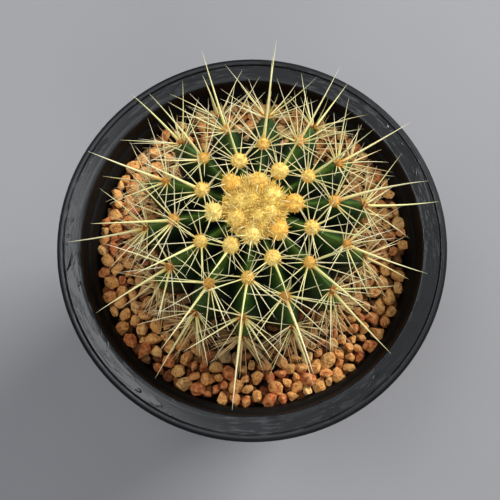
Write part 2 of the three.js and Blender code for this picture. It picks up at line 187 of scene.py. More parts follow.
class StemSettings(bpy.types.PropertyGroup):
    radius: length("Radius", "Radius over the rib crests", 39.5 * MM)
    upper_height: length("Upper height", "From the widest place up to the crown", 26 * MM)
    lower_height: length("Lower height", "Of the lower curve, which the mix cuts short", 62 * MM)
    upper_fullness: number("Upper fullness", "Of the upper curve: 2 is an ellipse", 2.6)
    lower_fullness: number("Lower fullness", "Of the lower curve: 2 is an ellipse", 2.3)
    rib_depth: length("Rib depth", "From the crests down to the valleys", 11 * MM)
    first_rib: degrees("First rib", "Where the first rib stands", 6.2)
    crest_colour: colour("Crest", "Colour of the rib crests", tone(72, 97, 33))
    flank_colour: colour("Flank", "Colour of the rib flanks", tone(26, 50, 14))
    # The valley's colour is nearly black: painted shade deep between the ribs.
    valley_shade_colour: colour("Valley", "Colour deep between the ribs", tone(4, 7, 3))


class SpineSettings(bpy.types.PropertyGroup):
    longest: length("Longest", "Length of the longest spine", 28.5 * MM)
    thick: length("Thick radius", "Radius of an areole's main spine at its base", 0.54 * MM)
    middle: length("Middle radius", "Radius of the spines beside the main one", 0.33 * MM)
    thin: length("Thin radius", "Radius of a radial spine at its base", 0.27 * MM)
    base: colour("Base", "Colour where a spine leaves the wool", tone(222, 164, 72))
    shaft: colour("Shaft", "Colour of most of a spine", tone(238, 227, 158))
    tip: colour("Tip", "Colour of a spine's point", tone(247, 240, 206))


class WoolSettings(bpy.types.PropertyGroup):
    young_radius: length("Young tuft", "Radius of a young tuft", 3.1 * MM)
    old_radius: length("Old tuft", "Radius of an old tuft", 1.25 * MM)
    crown_radius: length("Crown radius", "Radius of the crown's wool", 11.2 * MM)
    crown_height: length("Crown height", "Height of the crown's wool", 3.6 * MM)
    young: colour("Young wool", "Colour of fresh wool", tone(255, 238, 152))
    middle: colour("Golden wool", "Colour of wool some months old", tone(230, 184, 96))
    old: colour("Old wool", "Colour of weathered wool", tone(150, 76, 36))


class StageSettings(bpy.types.PropertyGroup):
    floor: colour("Floor", "Colour of the floor", (0.285, 0.287, 0.302))
    elevation: degrees("Elevation", "Camera's height above the horizon", 79)
    distance: length("Distance", "From the camera to what it aims at", 320 * MM)
    lens: FloatProperty(
        name="Lens", description="Focal length in mm", default=60.2, subtype="DISTANCE_CAMERA")
    panel_light: watts("Panel light", "Power of the panel overhead", 6)
    overhead_light: watts("Overhead light", "Power of the wide soft light", 7)
    side_light: watts("Side light", "Power of the light from the side", 40)
    fill_light: watts("Fill light", "Power of each of the two weak lights", 6)
    sky: factor("Sky", "Brightness of the room", 0.12)


SETTINGS = {
    "pot": PotSettings,
    "granules": GranuleSettings,
    "stem": StemSettings,
    "spines": SpineSettings,
    "wool": WoolSettings,
    "stage": StageSettings,
}


class CactusSettings(bpy.types.PropertyGroup):
    pot: PointerProperty(type=PotSettings)
    granules: PointerProperty(type=GranuleSettings)
    stem: PointerProperty(type=StemSettings)
    spines: PointerProperty(type=SpineSettings)
    wool: PointerProperty(type=WoolSettings)
    stage: PointerProperty(type=StageSettings)


def settings():
    return bpy.context.scene.potted_cactus


# ---- material nodes ------------------------------------------------------------------------------

class Finish:
    """A material under construction: short names for the shader nodes that the finishes share."""

    def __init__(self, name):
        self.material = bpy.data.materials.new(name)
        self.material.use_nodes = True
        self.tree = self.material.node_tree
        self.shader = self.tree.nodes["Principled BSDF"]
        self.place = self.tree.nodes.new("ShaderNodeTexCoord").outputs["Object"]

    def node(self, kind, inputs, **choices):
        made = self.tree.nodes.new(kind)
        for key, value in choices.items():
            setattr(made, key, value)
        for key, value in inputs.items():
            self.feed(value, made.inputs[key])
        return made

    def feed(self, value, socket):
        if isinstance(value, bpy.types.NodeSocket):
            self.tree.links.new(value, socket)
        elif socket.type == "RGBA":
            socket.default_value = (*value, 1)
        else:
            socket.default_value = value

    def set(self, **values):
        for key, value in values.items():
            self.feed(value, self.shader.inputs[key.replace("_", " ")])

    def noise(self, scale, detail=3, roughness=0.5, place=None, distortion=0):
        inputs = {"Vector": place or self.place, "Scale": scale, "Detail": detail,
                  "Roughness": roughness, "Distortion": distortion}
        return self.node("ShaderNodeTexNoise", inputs).outputs["Fac"]

    def cells(self, scale):
        """How far each point is from the nearest of many scattered ones."""
        inputs = {"Vector": self.place, "Scale": scale}
        return self.node("ShaderNodeTexVoronoi", inputs).outputs["Distance"]

    def math(self, operation, first, second=0, third=0):
        made = self.node("ShaderNodeMath", {0: first, 1: second, 2: third}, operation=operation)
        return made.outputs[0]

    def between(self, value, low, high, to_low=0, to_high=1):
        """value's range from low to high, smoothly, as to_low to to_high."""
        inputs = {"Value": value, "From Min": low, "From Max": high, "To Min": to_low, "To Max": to_high}
        return self.node("ShaderNodeMapRange", inputs, interpolation_type="SMOOTHSTEP").outputs[0]

    def mix(self, amount, first, second):
        """Colour from first to second by amount, on the sockets of a Mix node that are for colour."""
        return self.node("ShaderNodeMix", {0: amount, 6: first, 7: second}, data_type="RGBA").outputs[2]

    def ramp(self, value, stops):
        made = self.node("ShaderNodeValToRGB", {"Fac": value})
        ramp = made.color_ramp
        while len(ramp.elements) < len(stops):
            ramp.elements.new(0.5)
        for element, (position, tint) in zip(ramp.elements, stops):
            element.position = position
            element.color = (*tint, 1)
        return made.outputs["Color"]

    def attribute(self, name):
        return self.node("ShaderNodeAttribute", {}, attribute_name=name).outputs["Fac"]

    def axis(self, name):
        return self.node("ShaderNodeSeparateXYZ", {"Vector": self.place}).outputs[name]

    def vector(self, operation, first, second=None, scale=None):
        made = self.node("ShaderNodeVectorMath", {0: first}, operation=operation)
        if second is not None:
            self.feed(second, made.inputs[1])
        if scale is not None:
            self.feed(scale, made.inputs["Scale"])
        return made.outputs["Value" if operation in ("LENGTH", "DOT_PRODUCT") else "Vector"]

    def combine(self, x, y, z):
        return self.node("ShaderNodeCombineXYZ", {"X": x, "Y": y, "Z": z}).outputs[0]

    def flat(self):
        """The place with its height left out."""
        return self.combine(self.axis("X"), self.axis("Y"), 0.0)

    def ring_place(self, round_scale, radial_scale, height_scale):
        """A place that runs round the vertical axis with no seam, stretched or squeezed each way."""
        flat = self.flat()
        radius = self.vector("LENGTH", flat)
        heading = self.vector("SCALE", self.vector("NORMALIZE", flat), scale=round_scale)
        lift = self.math("MULTIPLY_ADD", radius, radial_scale,
                         self.math("MULTIPLY", self.axis("Z"), height_scale))
        return self.vector("ADD", heading, self.combine(0.0, 0.0, lift))

    def radius(self):
        return self.vector("LENGTH", self.flat())

    def towards(self, heading, none_beyond, full_within):
        """1 on the side of the vertical axis that lies this way, in degrees, fading to 0 away from it."""
        turn = math.radians(heading)
        facing = self.vector("DOT_PRODUCT", self.vector("NORMALIZE", self.flat()),
                             (math.cos(turn), math.sin(turn), 0))
        return self.between(facing, math.cos(math.radians(none_beyond)), math.cos(math.radians(full_within)))

    def drops(self, drops):
        """Lying drops of water: how far up its dome each point is, and the dark outline round each drop,
        which is painted shade along its curved edge.
        """
        dome, outline = 0.0, 0.0
        for heading, reach, half_length, half_width, slant, bend in drops:
            turn, lean = math.radians(heading), math.radians(heading + 90 + slant)
            centre = (reach * MM * math.cos(turn), reach * MM * math.sin(turn), 0)
            away = self.vector("SUBTRACT", self.flat(), centre)
            along = self.vector("DOT_PRODUCT", away, (math.cos(lean), math.sin(lean), 0))
            along = self.math("DIVIDE", along, half_length * MM)
            across = self.vector("DOT_PRODUCT", away, (-math.sin(lean), math.cos(lean), 0))
            across = self.math("DIVIDE", across, half_width * MM)
            across = self.math("MULTIPLY_ADD", self.math("MULTIPLY", along, along), bend, across)
            reach_out = self.vector("LENGTH", self.combine(along, across, 0.0))
            dome = self.math("MAXIMUM", dome, self.between(reach_out, 1, 0.3))
            ring = self.math("MULTIPLY", self.between(reach_out, 1.08, 0.96),
                             self.between(reach_out, 0.5, 0.82))
            outline = self.math("MAXIMUM", outline, ring)
        return dome, outline

    def bump(self, height, strength, distance, under=None):
        inputs = {"Height": height, "Strength": strength, "Distance": distance}
        if under is not None:
            inputs["Normal"] = under
        return self.node("ShaderNodeBump", inputs).outputs["Normal"]


def band_water(f):
    """How wet each place on the band is: its side, whose thicker film is partly a painted reflection, its
    pools, and fine streaks with dry gaps between them.
    """
    # Towards this side the film is thicker and the streaks stronger: partly real wet film, partly a painted
    # reflection that makes that side of the band brighter.
    wet_and_reflection_side = f.towards(WET_AND_REFLECTION_SIDE, 105, 30)
    puddle_side = f.towards(PUDDLE_SIDE, 26, 12)
    pools = f.math("MULTIPLY_ADD", puddle_side, 0.13, f.noise(1, 3, 0.55, f.ring_place(3.1, 130, 30), 0.5))
    pool = f.between(pools, 0.565, 0.60)
    streaky = f.between(f.noise(1, 1, 0.5, f.ring_place(1.4, 25, 20)), 0.42, 0.58)
    streaks = f.noise(1, 4, 0.65, f.ring_place(9, 1100, 60), 0.3)
    streak = f.math("MULTIPLY", f.between(streaks, 0.50, 0.64), streaky)
    gap = f.math("MULTIPLY", f.between(streaks, 0.44, 0.34), streaky)
    return wet_and_reflection_side, pool, streak, gap


def wet_plastic():
    """The band round the mouth: black plastic under a thin milky film, with puddles, streaks and drops. The
    film is thicker on one side, partly a painted reflection, and each drop has painted shade round its edge.
    """
    pot = settings().pot
    f = Finish("wet_black_plastic")
    radius = f.radius()
    inner = pot.rim_radius - pot.band_width
    on_band = f.math("MULTIPLY", f.between(radius, pot.rim_radius - 1.4 * MM, pot.rim_radius - 2.2 * MM),
                     f.between(radius, inner - 0.5 * MM, inner + 0.8 * MM))
    wet_and_reflection_side, pool, streak, gap = band_water(f)
    film = f.between(f.noise(1, 4, 0.6, f.ring_place(4, 160, 20)), 0.35, 0.65, 0.45, 1)
    film = f.math("MULTIPLY", film, f.math("MULTIPLY_ADD", wet_and_reflection_side, 0.85, 0.15))
    film = f.math("MULTIPLY", film, f.between(pool, 0, 1, 1, 0.45))
    base = f.mix(film, pot.plastic, pot.film)
    streaked = f.math("MULTIPLY", streak, f.between(wet_and_reflection_side, 0, 1, 0.35, 0.8))
    base = f.mix(streaked, base, (0.066, 0.071, 0.078))
    base = f.mix(f.math("MULTIPLY", gap, 0.85), base, pot.plastic)
    dome, outline = f.drops(BAND_DROPS)
    # Painted shade: each drop's curved edge is darkened nearly to black.
    base = f.mix(outline, base, (0.003, 0.004, 0.005))
    f.set(Base_Color=f.mix(on_band, pot.plastic, base))
    wet = f.math("MULTIPLY_ADD", streak, 0.16, f.between(pool, 0, 1, 0.22, 0.10))
    wet = f.math("MULTIPLY", wet, f.between(dome, 0, 0.3, 1, 0.35))
    f.set(Roughness=f.math("MULTIPLY_ADD", on_band, f.math("SUBTRACT", wet, 0.45), 0.45))
    f.set(Specular_IOR_Level=0.38)
    grain = f.bump(f.noise(2600, 2, 0.5), 0.08, 0.00006)
    tooling = f.bump(f.noise(1, 3, 0.5, f.ring_place(2, 900, 900)), 0.10, 0.0001, grain)
    water = f.math("MULTIPLY_ADD", pool, 0.5, f.math("MULTIPLY", streak, 0.35))
    water = f.math("MULTIPLY", f.math("MULTIPLY_ADD", dome, 1.4, water), on_band)
    f.set(Normal=f.bump(water, 0.3, 0.0003, tooling))
    return f.material


def dry_plastic():
    """The pot's outside: black plastic with a faint dust, moulding lines and a soft gloss."""
    pot = settings().pot
    f = Finish("dry_black_plastic")
    dust = f.between(f.noise(220, 5, 0.6), 0.50, 0.78, 0, 0.14)
    scuffs = f.between(f.noise(1, 4, 0.6, f.ring_place(6, 300, 40)), 0.58, 0.75, 0, 0.25)
    base = f.mix(dust, pot.plastic, (0.045, 0.045, 0.048))
    f.set(Base_Color=f.mix(scuffs, base, (0.030, 0.031, 0.033)))
    f.set(Roughness=f.between(f.noise(160, 4, 0.6), 0.3, 0.7, 0.42, 0.56), Specular_IOR_Level=0.11)
    grain = f.bump(f.noise(2600, 2, 0.5), 0.08, 0.00006)
    f.set(Normal=f.bump(f.noise(1, 3, 0.5, f.ring_place(2, 200, 900)), 0.10, 0.0001, grain))
    return f.material


def dull_plastic():
    """The pot's inner wall: the same black plastic, dull with dust and old splashes."""
    f = Finish("dull_black_plastic")
    splash = f.noise(1, 4, 0.6, f.ring_place(5, 60, 160))
    splashed = f.between(splash, 0.5, 0.75, 0, 0.6)
    f.set(Base_Color=f.mix(splashed, (0.0035, 0.0038, 0.0036), (0.010, 0.010, 0.009)))
    f.set(Roughness=f.between(splash, 0.35, 0.7, 0.55, 0.75), Specular_IOR_Level=0.14)
    f.set(Normal=f.bump(splash, 0.3, 0.0004))
    return f.material


def damp_mix():
    """Dark potting mix: crumbs, bits of bark and pale mineral specks."""
    f = Finish("damp_potting_mix")
    crumbs = f.noise(420, 6, 0.65)
    bark = f.cells(260)
    specks = f.between(f.cells(700), 0.16, 0.08)
    base = f.ramp(crumbs, [(0.25, tone(26, 18, 13)), (0.5, tone(56, 40, 29)), (0.75, tone(92, 68, 48))])
    base = f.mix(f.between(bark, 0.35, 0.6), base, tone(34, 23, 16))
    f.set(Base_Color=f.mix(f.math("MULTIPLY", specks, 0.7), base, tone(186, 170, 146)))
    f.set(Roughness=f.between(crumbs, 0.3, 0.7, 0.78, 0.98))
    f.set(Normal=f.bump(f.math("ADD", crumbs, bark), 0.8, 0.0012))
    return f.material


def root_bark():
    """Corky pale brown bark with fine rings along the roots."""
    f = Finish("root_bark")
    cork = f.noise(500, 6, 0.6)
    rings = f.noise(1, 3, 0.5, f.ring_place(3, 200, 1400))
    base = f.ramp(cork, [(0.3, tone(122, 92, 62)), (0.55, tone(176, 144, 102)), (0.8, tone(206, 180, 138))])
    f.set(Base_Color=f.mix(f.between(rings, 0.55, 0.75, 0, 0.5), base, tone(104, 76, 52)))
    f.set(Roughness=f.between(cork, 0.3, 0.7, 0.7, 0.92))
    f.set(Normal=f.bump(f.math("ADD", cork, rings), 0.6, 0.0006))
    return f.material


def fired_clay():
    """Porous tan clay whose colour changes from granule to granule, with painted shade in its pores, on the
    layer below and near the stem.
    """
    granules = settings().granules
    f = Finish("fired_clay")
    tint = f.attribute("tint")
    base = f.ramp(tint, [
        (0.0, granules.red),
        (0.16, tone(208, 112, 58)),
        (0.42, granules.middle),
        (0.66, tone(250, 182, 100)),
        (0.84, tone(253, 194, 114)),
        (1.0, granules.pale),
    ])
    blotches = f.noise(520, 4, 0.6)
    grain = f.noise(2400, 4, 0.65)
    base = f.mix(f.between(blotches, 0.42, 0.72, 0, 0.75), base, tone(250, 202, 130))
    base = f.mix(f.between(blotches, 0.50, 0.30, 0, 0.8), base, tone(138, 66, 30))
    # Painted shade in the pores: their pits are darkened, and the bump below also sinks them.
    pores = f.between(f.cells(1700), 0.20, 0.08, 0, 0.7)
    base = f.mix(pores, base, tone(92, 44, 20))
    base = f.mix(f.between(grain, 0.3, 0.7, 0, 0.3), base, tone(188, 112, 58))
    # Painted shade: the age attribute holds each granule's layer, and the layer below is darkened as if the
    # top one shaded it.
    base = f.mix(f.math("MULTIPLY", f.attribute("age"), 0.78), base, tone(88, 40, 16))
    # Painted shade: granules close to the stem are darkened as if they lay in its shadow.
    off_stem = f.vector("LENGTH", f.combine(f.math("SUBTRACT", f.axis("X"), PLANT_X), f.axis("Y"), 0.0))
    painted_shade = f.between(off_stem, 54 * MM, 40 * MM, 0, 0.72)
    f.set(Base_Color=f.mix(painted_shade, base, tone(74, 36, 16)))
    f.set(Roughness=f.between(grain, 0.3, 0.7, 0.78, 0.96), Specular_IOR_Level=0.35)
    lumps = f.bump(blotches, 0.9, 0.002)
    f.set(Normal=f.bump(f.math("SUBTRACT", grain, pores), 0.55, 0.0003, lumps))
    return f.material


def cactus_skin():
    """Waxy green skin, greyer and paler towards the crests, with painted shade that makes it nearly black in
    the valleys and low on the stem.
    """
    stem = settings().stem
    f = Finish("waxy_green_skin")
    depth = f.attribute("valley")
    clouds = f.noise(130, 4, 0.6)
    depth = f.math("ADD", depth, f.between(clouds, 0.3, 0.7, -0.12, 0.12))
    # The skin's own green, paler on the crests, darkens towards the valleys into painted shade, nearly black
    # where they are deepest.
    base = f.ramp(depth, [
        (0.0, stem.crest_colour),
        (0.14, tone(41, 69, 20)),
        (0.38, stem.flank_colour),
        (0.58, tone(14, 28, 7)),
        (1.0, stem.valley_shade_colour),
    ])
    bloom = f.noise(60, 3, 0.5)
    base = f.mix(f.between(bloom, 0.45, 0.75, 0, 0.3), base, tone(56, 84, 36))
    # Painted shade: below its widest place, where it overhangs the granules, the stem darkens to nearly
    # black.
    painted_shade = f.between(f.axis("Z"), STEM_HIGH.z - 20 * MM, BED_HIGH.z + 16 * MM, 0, 0.95)
    base = f.mix(painted_shade, base, tone(7, 11, 4))
    corky = f.math("MULTIPLY", f.between(f.axis("Z"), BED_HIGH.z + 4 * MM, BED_HIGH.z - 2 * MM),
                   f.between(f.noise(240, 4, 0.6), 0.45, 0.62))
    base = f.mix(f.math("MULTIPLY", corky, 0.5), base, tone(62, 46, 28))
    pores = f.cells(2100)
    base = f.mix(f.between(pores, 0.16, 0.06, 0, 0.45), base, tone(120, 150, 104))
    f.set(Base_Color=base)
    rough = f.between(clouds, 0.3, 0.7, 0.40, 0.56)
    f.set(Roughness=f.math("MULTIPLY_ADD", f.between(depth, 0.15, 0.6), 0.32, rough))
    f.set(Specular_IOR_Level=0.15, Coat_Weight=0.03, Coat_Roughness=0.4)
    wrinkles = f.bump(f.noise(1, 3, 0.5, f.ring_place(6, 300, 420)), 0.35, 0.0007)
    f.set(Normal=f.bump(pores, 0.22, 0.00012, wrinkles))
    return f.material


def areole_wool():
    """Felted wool, cream in the youngest tufts and rust in the oldest, with painted shade between its grains
    and a painted highlight on their tops.
    """
    wool = settings().wool
    f = Finish("woolly_felt")
    along = f.attribute("along")
    tint = f.attribute("tint")
    age = f.math("ADD", f.attribute("age"), f.between(f.noise(700, 2, 0.5), 0.3, 0.7, -0.05, 0.05))
    base = f.ramp(age, [
        (0.0, wool.young),
        (0.12, tone(247, 220, 128)),
        (0.34, wool.middle),
        (0.62, tone(214, 156, 80)),
        (0.82, tone(188, 116, 60)),
        (1.0, wool.old),
    ])
    # Painted shade: where along is low, in the gaps between grains, under a tuft and at the fibres' roots,
    # the wool turns darker.
    deep = f.ramp(age, [(0.0, tone(246, 206, 104)), (0.3, tone(216, 158, 72)), (1.0, tone(110, 50, 24))])
    base = f.mix(f.between(tint, 0.70, 0.95, 0, 0.7), base, tone(244, 180, 58))
    base = f.mix(f.between(along, 0.45, 0.05, 0, 0.75), base, deep)
    flecks = f.math("MULTIPLY", f.between(f.noise(1100, 3, 0.6), 0.53, 0.62), f.between(age, 0.6, 0.3))
    base = f.mix(f.math("MULTIPLY", flecks, 0.45), base, tone(234, 164, 58))
    # Painted highlight: the grains' tops and the fibres' tips are paler, most of all in young wool.
    painted_highlight = f.math("MULTIPLY", f.between(along, 0.7, 1), f.between(age, 0.5, 0.05, 0.1, 0.28))
    base = f.mix(f.math("MULTIPLY", painted_highlight, f.between(tint, 0.9, 0.6)), base, tone(255, 244, 186))
    f.set(Base_Color=base, Roughness=0.92, Specular_IOR_Level=0.1)
    f.set(Normal=f.bump(f.noise(3000, 3, 0.6), 0.5, 0.0003))
    return f.material


def spine_horn():
    """Horny straw-yellow spines: golden at the base, ringed along the shaft and paler at the tip."""
    spines = settings().spines
    f = Finish("spine_horn")
    along = f.attribute("along")
    tint = f.attribute("tint")
    base = f.ramp(along, [
        (0.0, spines.base),
        (0.05, spines.base),
        (0.09, tone(234, 206, 126)),
        (0.20, spines.shaft),
        (0.72, tone(242, 234, 184)),
        (1.0, spines.tip),
    ])
    base = f.mix(f.between(tint, 0.5, 0.95, 0, 0.55), base, tone(206, 210, 128))
    base = f.mix(f.between(tint, 0.35, 0.05, 0, 0.5), base, tone(250, 244, 214))
    base = f.mix(f.between(f.attribute("age"), 0.15, 0.8, 0, 0.85), base, tone(212, 168, 106))
    rings = f.noise(1, 2, 0.5, f.combine(f.math("MULTIPLY", along, 42), f.math("MULTIPLY", tint, 30), 0.0))
    base = f.mix(f.between(rings, 0.55, 0.75, 0, 0.25), base, tone(214, 190, 112))
    f.set(Base_Color=base, Roughness=f.between(rings, 0.3, 0.7, 0.34, 0.5))
    f.set(Normal=f.bump(rings, 0.35, 0.00025))
    return f.material


def plain_floor():
    """A matt floor, very slightly clouded."""
    f = Finish("plain_floor")
    cloud = f.noise(6, 4, 0.5)
    f.set(Base_Color=f.mix(f.between(cloud, 0.3, 0.7, 0, 0.12), settings().stage.floor, tone(176, 176, 180)))
    f.set(Roughness=0.85, Specular_IOR_Level=0.2)
    return f.material


# ---- modelling helpers ---------------------------------------------------------------------------

def deselect():
    if bpy.context.object and bpy.context.object.mode != "OBJECT":
        bpy.ops.object.mode_set(mode="OBJECT")
    bpy.ops.object.select_all(action="DESELECT")


def activate(thing):
    deselect()
    thing.select_set(True)
    bpy.context.view_layer.objects.active = thing


def edit_all():
    """Opens the active piece for editing, with all of it selected."""
    bpy.ops.object.mode_set(mode="EDIT")
    bpy.ops.mesh.select_all(action="SELECT")


def points_of(thing):
    found = np.zeros(len(thing.data.vertices) * 3, np.float32)
    thing.data.vertices.foreach_get("co", found)
    return found.reshape(-1, 3).astype(float)


def move_points(thing, points):
    thing.data.vertices.foreach_set("co", np.asarray(points, np.float32).ravel())
    thing.data.update()


def mark_points(thing, name, values):
    attribute = thing.data.attributes.new(name, "FLOAT", "POINT")
    attribute.data.foreach_set("value", np.asarray(values, np.float32))


def smooth_by_angle(thing, widest):
    """Shades a piece smooth, apart from the edges that turn by more than this many degrees."""
    activate(thing)
    bpy.ops.object.shade_smooth_by_angle(angle=math.radians(widest))


def deliver(thing, name, materials, nodes=()):
    """Names a finished piece, gives it its finishes and sets it on the frame."""
    thing.name = name
    thing.data.name = name
    for material in materials:
        thing.data.materials.append(material)
    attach(thing, BODY)
    if nodes:
        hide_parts(*nodes)
    return thing


def smoothstep(low, high, value):
    t = np.clip((value - low) / (high - low), 0, 1)
    return t * t * (3 - 2 * t)


def unit(vector):
    return vector / np.linalg.norm(vector)


def cross_axes(direction):
    """Two directions square to this one and to each other."""
    aside = unit(np.cross(direction, UP if abs(direction[2]) < 0.9 else np.array([1.0, 0.0, 0.0])))
    return aside, np.cross(direction, aside)


def scatter(draw):
    """A random step, as likely one way as any other."""
    return np.array([draw.gauss(0, 1) for _ in range(3)])


def noise_places(points, scale, seed):
    shift = Vector((seed * 3.17, seed * 1.71, seed * 2.39))
    return [Vector(p) * scale + shift for p in points]


def bump_field(points, scale, seed):
    """Smooth noise from -1 to 1 at each point."""
    return np.array([noise.noise(p) for p in noise_places(points, scale, seed)])


def pebbles(points, scale, seed):
    """Rounded grains packed side by side, from 0 in the gaps between them to 1 on their tops."""
    nearest = np.array([noise.voronoi(p)[0][:2] for p in noise_places(points, scale, seed)])
    return smoothstep(0, 0.5, nearest[:, 1] - nearest[:, 0])


class Shape:
    """A modelled shape, kept to be copied: its points, faces, and how far along it each point lies."""

    def __init__(self, thing):
        self.points = points_of(thing)
        self.faces = [tuple(face.vertices) for face in thing.data.polygons]
        height = self.points[:, 2]
        self.along = (height - height.min()) / (height.max() - height.min())
        bpy.data.objects.remove(thing)

    def turned(self, aside, across):
        """Its points' offsets from its axis, with its X and Y turned into these directions."""
        return np.outer(self.points[:, 0], aside) + np.outer(self.points[:, 1], across)


# Edges of wool and spines that turn by less than this, in degrees, are shaded smooth.
WOOL_AND_SPINE_ANGLE = 78


class Heap:
    """Copies of shapes gathered into one mesh, each with its own age and tint. For the granules, age holds
    their layer, which the clay darkens as painted shade.
    """

    def __init__(self):
        self.points, self.faces, self.slots, self.count = [], [], [], 0
        self.values = {"along": [], "tint": [], "age": []}

    def add(self, shape, points, slot=0, tint=0.5, age=0.0, along=None):
        self.points.append(points)
        base = self.count
        self.faces.extend(tuple(i + base for i in face) for face in shape.faces)
        self.slots.extend([slot] * len(shape.faces))
        self.count += len(points)
        self.values["along"].append(shape.along if along is None else along)
        self.values["tint"].append(np.full(len(points), tint))
        self.values["age"].append(np.full(len(points), age))

    def make(self, name, smooth_degrees=WOOL_AND_SPINE_ANGLE):
        mesh = bpy.data.meshes.new(name)
        mesh.from_pydata(np.concatenate(self.points).tolist(), [], self.faces)
        mesh.polygons.foreach_set("material_index", self.slots)
        thing = bpy.data.objects.new(name, mesh)
        bpy.context.scene.collection.objects.link(thing)
        for key, lists in self.values.items():
            mark_points(thing, key, np.concatenate(lists))
        smooth_by_angle(thing, smooth_degrees)
        return thing


# ---- master shapes -------------------------------------------------------------------------------

def drawn_out(sides, steps, taper):
    """A rod one unit long, extruded ring by ring from a small disc, that narrows to a point."""
    deselect()
    bpy.ops.mesh.primitive_circle_add(vertices=sides, radius=1, fill_type="NGON")
    thing = bpy.context.object
    edit_all()
    radius = 1
    for step in range(1, steps + 1):
        bpy.ops.mesh.extrude_region_move(TRANSFORM_OT_translate={"value": (0, 0, 1 / steps)})
        wanted = max((1 - step / steps) ** taper, 0.03)
        ratio = wanted / radius
        bpy.ops.transform.resize(value=(ratio, ratio, 1), center_override=(0, 0, step / steps))
        radius = wanted
    bpy.ops.mesh.select_all(action="SELECT")
    bpy.ops.mesh.normals_make_consistent(inside=False)
    bpy.ops.object.mode_set(mode="OBJECT")
    return Shape(thing)


def round_tuft(segments, rings):
    """A ball one unit in radius, the core of a tuft of wool."""
    deselect()
    bpy.ops.mesh.primitive_uv_sphere_add(segments=segments, ring_count=rings, radius=1)
    return Shape(bpy.context.object)


# How many sides of a granule are pressed flat, and what is left of the part that is pressed in.
GRANULE_FLATS = 7
LEFT_OF_PRESSED = 0.08


def master_granule(draw):
    """A broken lump of clay one unit in radius: a ball drawn long and pressed flat on several sides."""
    deselect()
    bpy.ops.mesh.primitive_ico_sphere_add(subdivisions=2, radius=1)
    thing = bpy.context.object
    stretch = (draw.uniform(1.0, 1.38), draw.uniform(0.80, 1.0), draw.uniform(0.68, 0.92))
    edit_all()
    bpy.ops.transform.resize(value=stretch)
    bpy.ops.transform.vertex_random(offset=0.07, uniform=0, normal=1, seed=draw.randrange(1000))
    bpy.ops.object.mode_set(mode="OBJECT")
    points = points_of(thing)
    for _ in range(GRANULE_FLATS):
        side = unit(scatter(draw))
        level = draw.uniform(0.44, 0.82)
        beyond = np.maximum(points @ side - level, 0)
        points -= np.outer(beyond * (1 - LEFT_OF_PRESSED), side)
    points *= 1 + 0.19 * bump_field(points, 1.8, draw.randrange(50))[:, None]
    move_points(thing, points)
    return Shape(thing)


# ---- where things grow ---------------------------------------------------------------------------

class Outline:
    """The curve over a rib's crest, from the crown's centre out and down to the stem's foot."""

    def __init__(self, stem, steps=160):
        widest = STEM_HIGH.z - stem.upper_height
        upper = self.curve(stem.radius, widest, stem.upper_height, stem.upper_fullness, 0, steps)
        lower = self.curve(stem.radius, widest, stem.lower_height, stem.lower_fullness, math.pi / 2, steps)
        points = np.concatenate([upper, lower[1:]])
        points = points[(points[:, 1] > STEM_LOW.z) | (np.arange(len(points)) <= steps)]
        ahead = np.concatenate([points[1:], points[-1:]])
        behind = np.concatenate([points[:1], points[:-1]])
        self.arc = np.cumsum(np.hypot(*(points - behind).T))
        tangent = (ahead - behind) / np.hypot(*(ahead - behind).T)[:, None]
        self.r, self.z = points.T
        self.up, self.out = tangent[:, 0], -tangent[:, 1]
        self.length = self.arc[-1]

    @staticmethod
    def curve(radius, middle, height, fullness, start, steps):
        angles = start + np.linspace(0, math.pi / 2, steps + 1)
        cosine = np.cos(angles)
        r = radius * np.abs(np.sin(angles)) ** (2 / fullness)
        z = middle + height * np.sign(cosine) * np.abs(cosine) ** (2 / fullness)
        return np.stack([r, z], axis=1)

    def at(self, arc):
        """Radius, height, and the normal's outward and upward shares at an arc length."""
        return [np.interp(arc, self.arc, line) for line in (self.r, self.z, self.out, self.up)]

    def radius_at(self, height):
        return float(np.interp(-height, -self.z, self.r))


def rib_angle(rib):
    return settings().stem.first_rib + rib / RIBS * TURN


def plant_draws(seed):
    """Repeatable numbers from 0 to 1, the ones that the frame's own areoles were placed with."""
    state = seed
    while True:
        state = state * 16807 % 2147483647
        yield state / 2147483647


class Areole:
    """One areole's place and directions: out of the skin, down its rib and sideways."""

    def __init__(self, pair, side, outline, draws):
        self.pair = pair
        self.age = pair / RIBS_PER_SIDE
        self.rib = (FIRST_RIB_OF_PAIRS + RIBS_PER_PAIR * pair) % RIBS_PER_SIDE + RIBS_PER_SIDE * side
        self.arc = FIRST_AREOLE_ARC + AREOLE_SPACING * self.age + (next(draws) - 0.5) * AREOLE_JITTER
        r, z, out, up = outline.at(self.arc)
        angle = rib_angle(self.rib) + (next(draws) - 0.5) * RIB_JITTER
        c, s = math.cos(angle), math.sin(angle)
        self.skin = np.array([PLANT_X + r * c, r * s, z])
        self.normal = np.array([out * c, out * s, up])
        self.down = np.array([up * c, up * s, -out])
        self.aside = np.cross(self.normal, self.down)
        self.ripe = float(smoothstep(0.5, 2.7, self.age))
        self.felt = 0.1 + 0.9 * self.ripe
        self.worn = float(smoothstep(1.7, 3.8, self.age))

    @property
    def node(self):
        return f"spine_cluster_{self.pair:02d}_rib_{self.rib + 1:02d}"

    def direction(self, clock, lean):
        turn, tilt = math.radians(clock), math.radians(lean)
        return (self.normal * math.cos(tilt) + self.down * math.sin(tilt) * math.cos(turn)
                + self.aside * math.sin(tilt) * math.sin(turn))


def all_areoles(outline):
    draws = plant_draws(PLANT_SEED)
    found = [Areole(pair, side, outline, draws) for pair in range(LAST_PAIR) for side in (0, 1)]
    lowest = BED_HIGH.z + 1.5 * MM
    return [a for a in found if a.pair < FRAME_PAIRS or a.skin[2] > lowest]


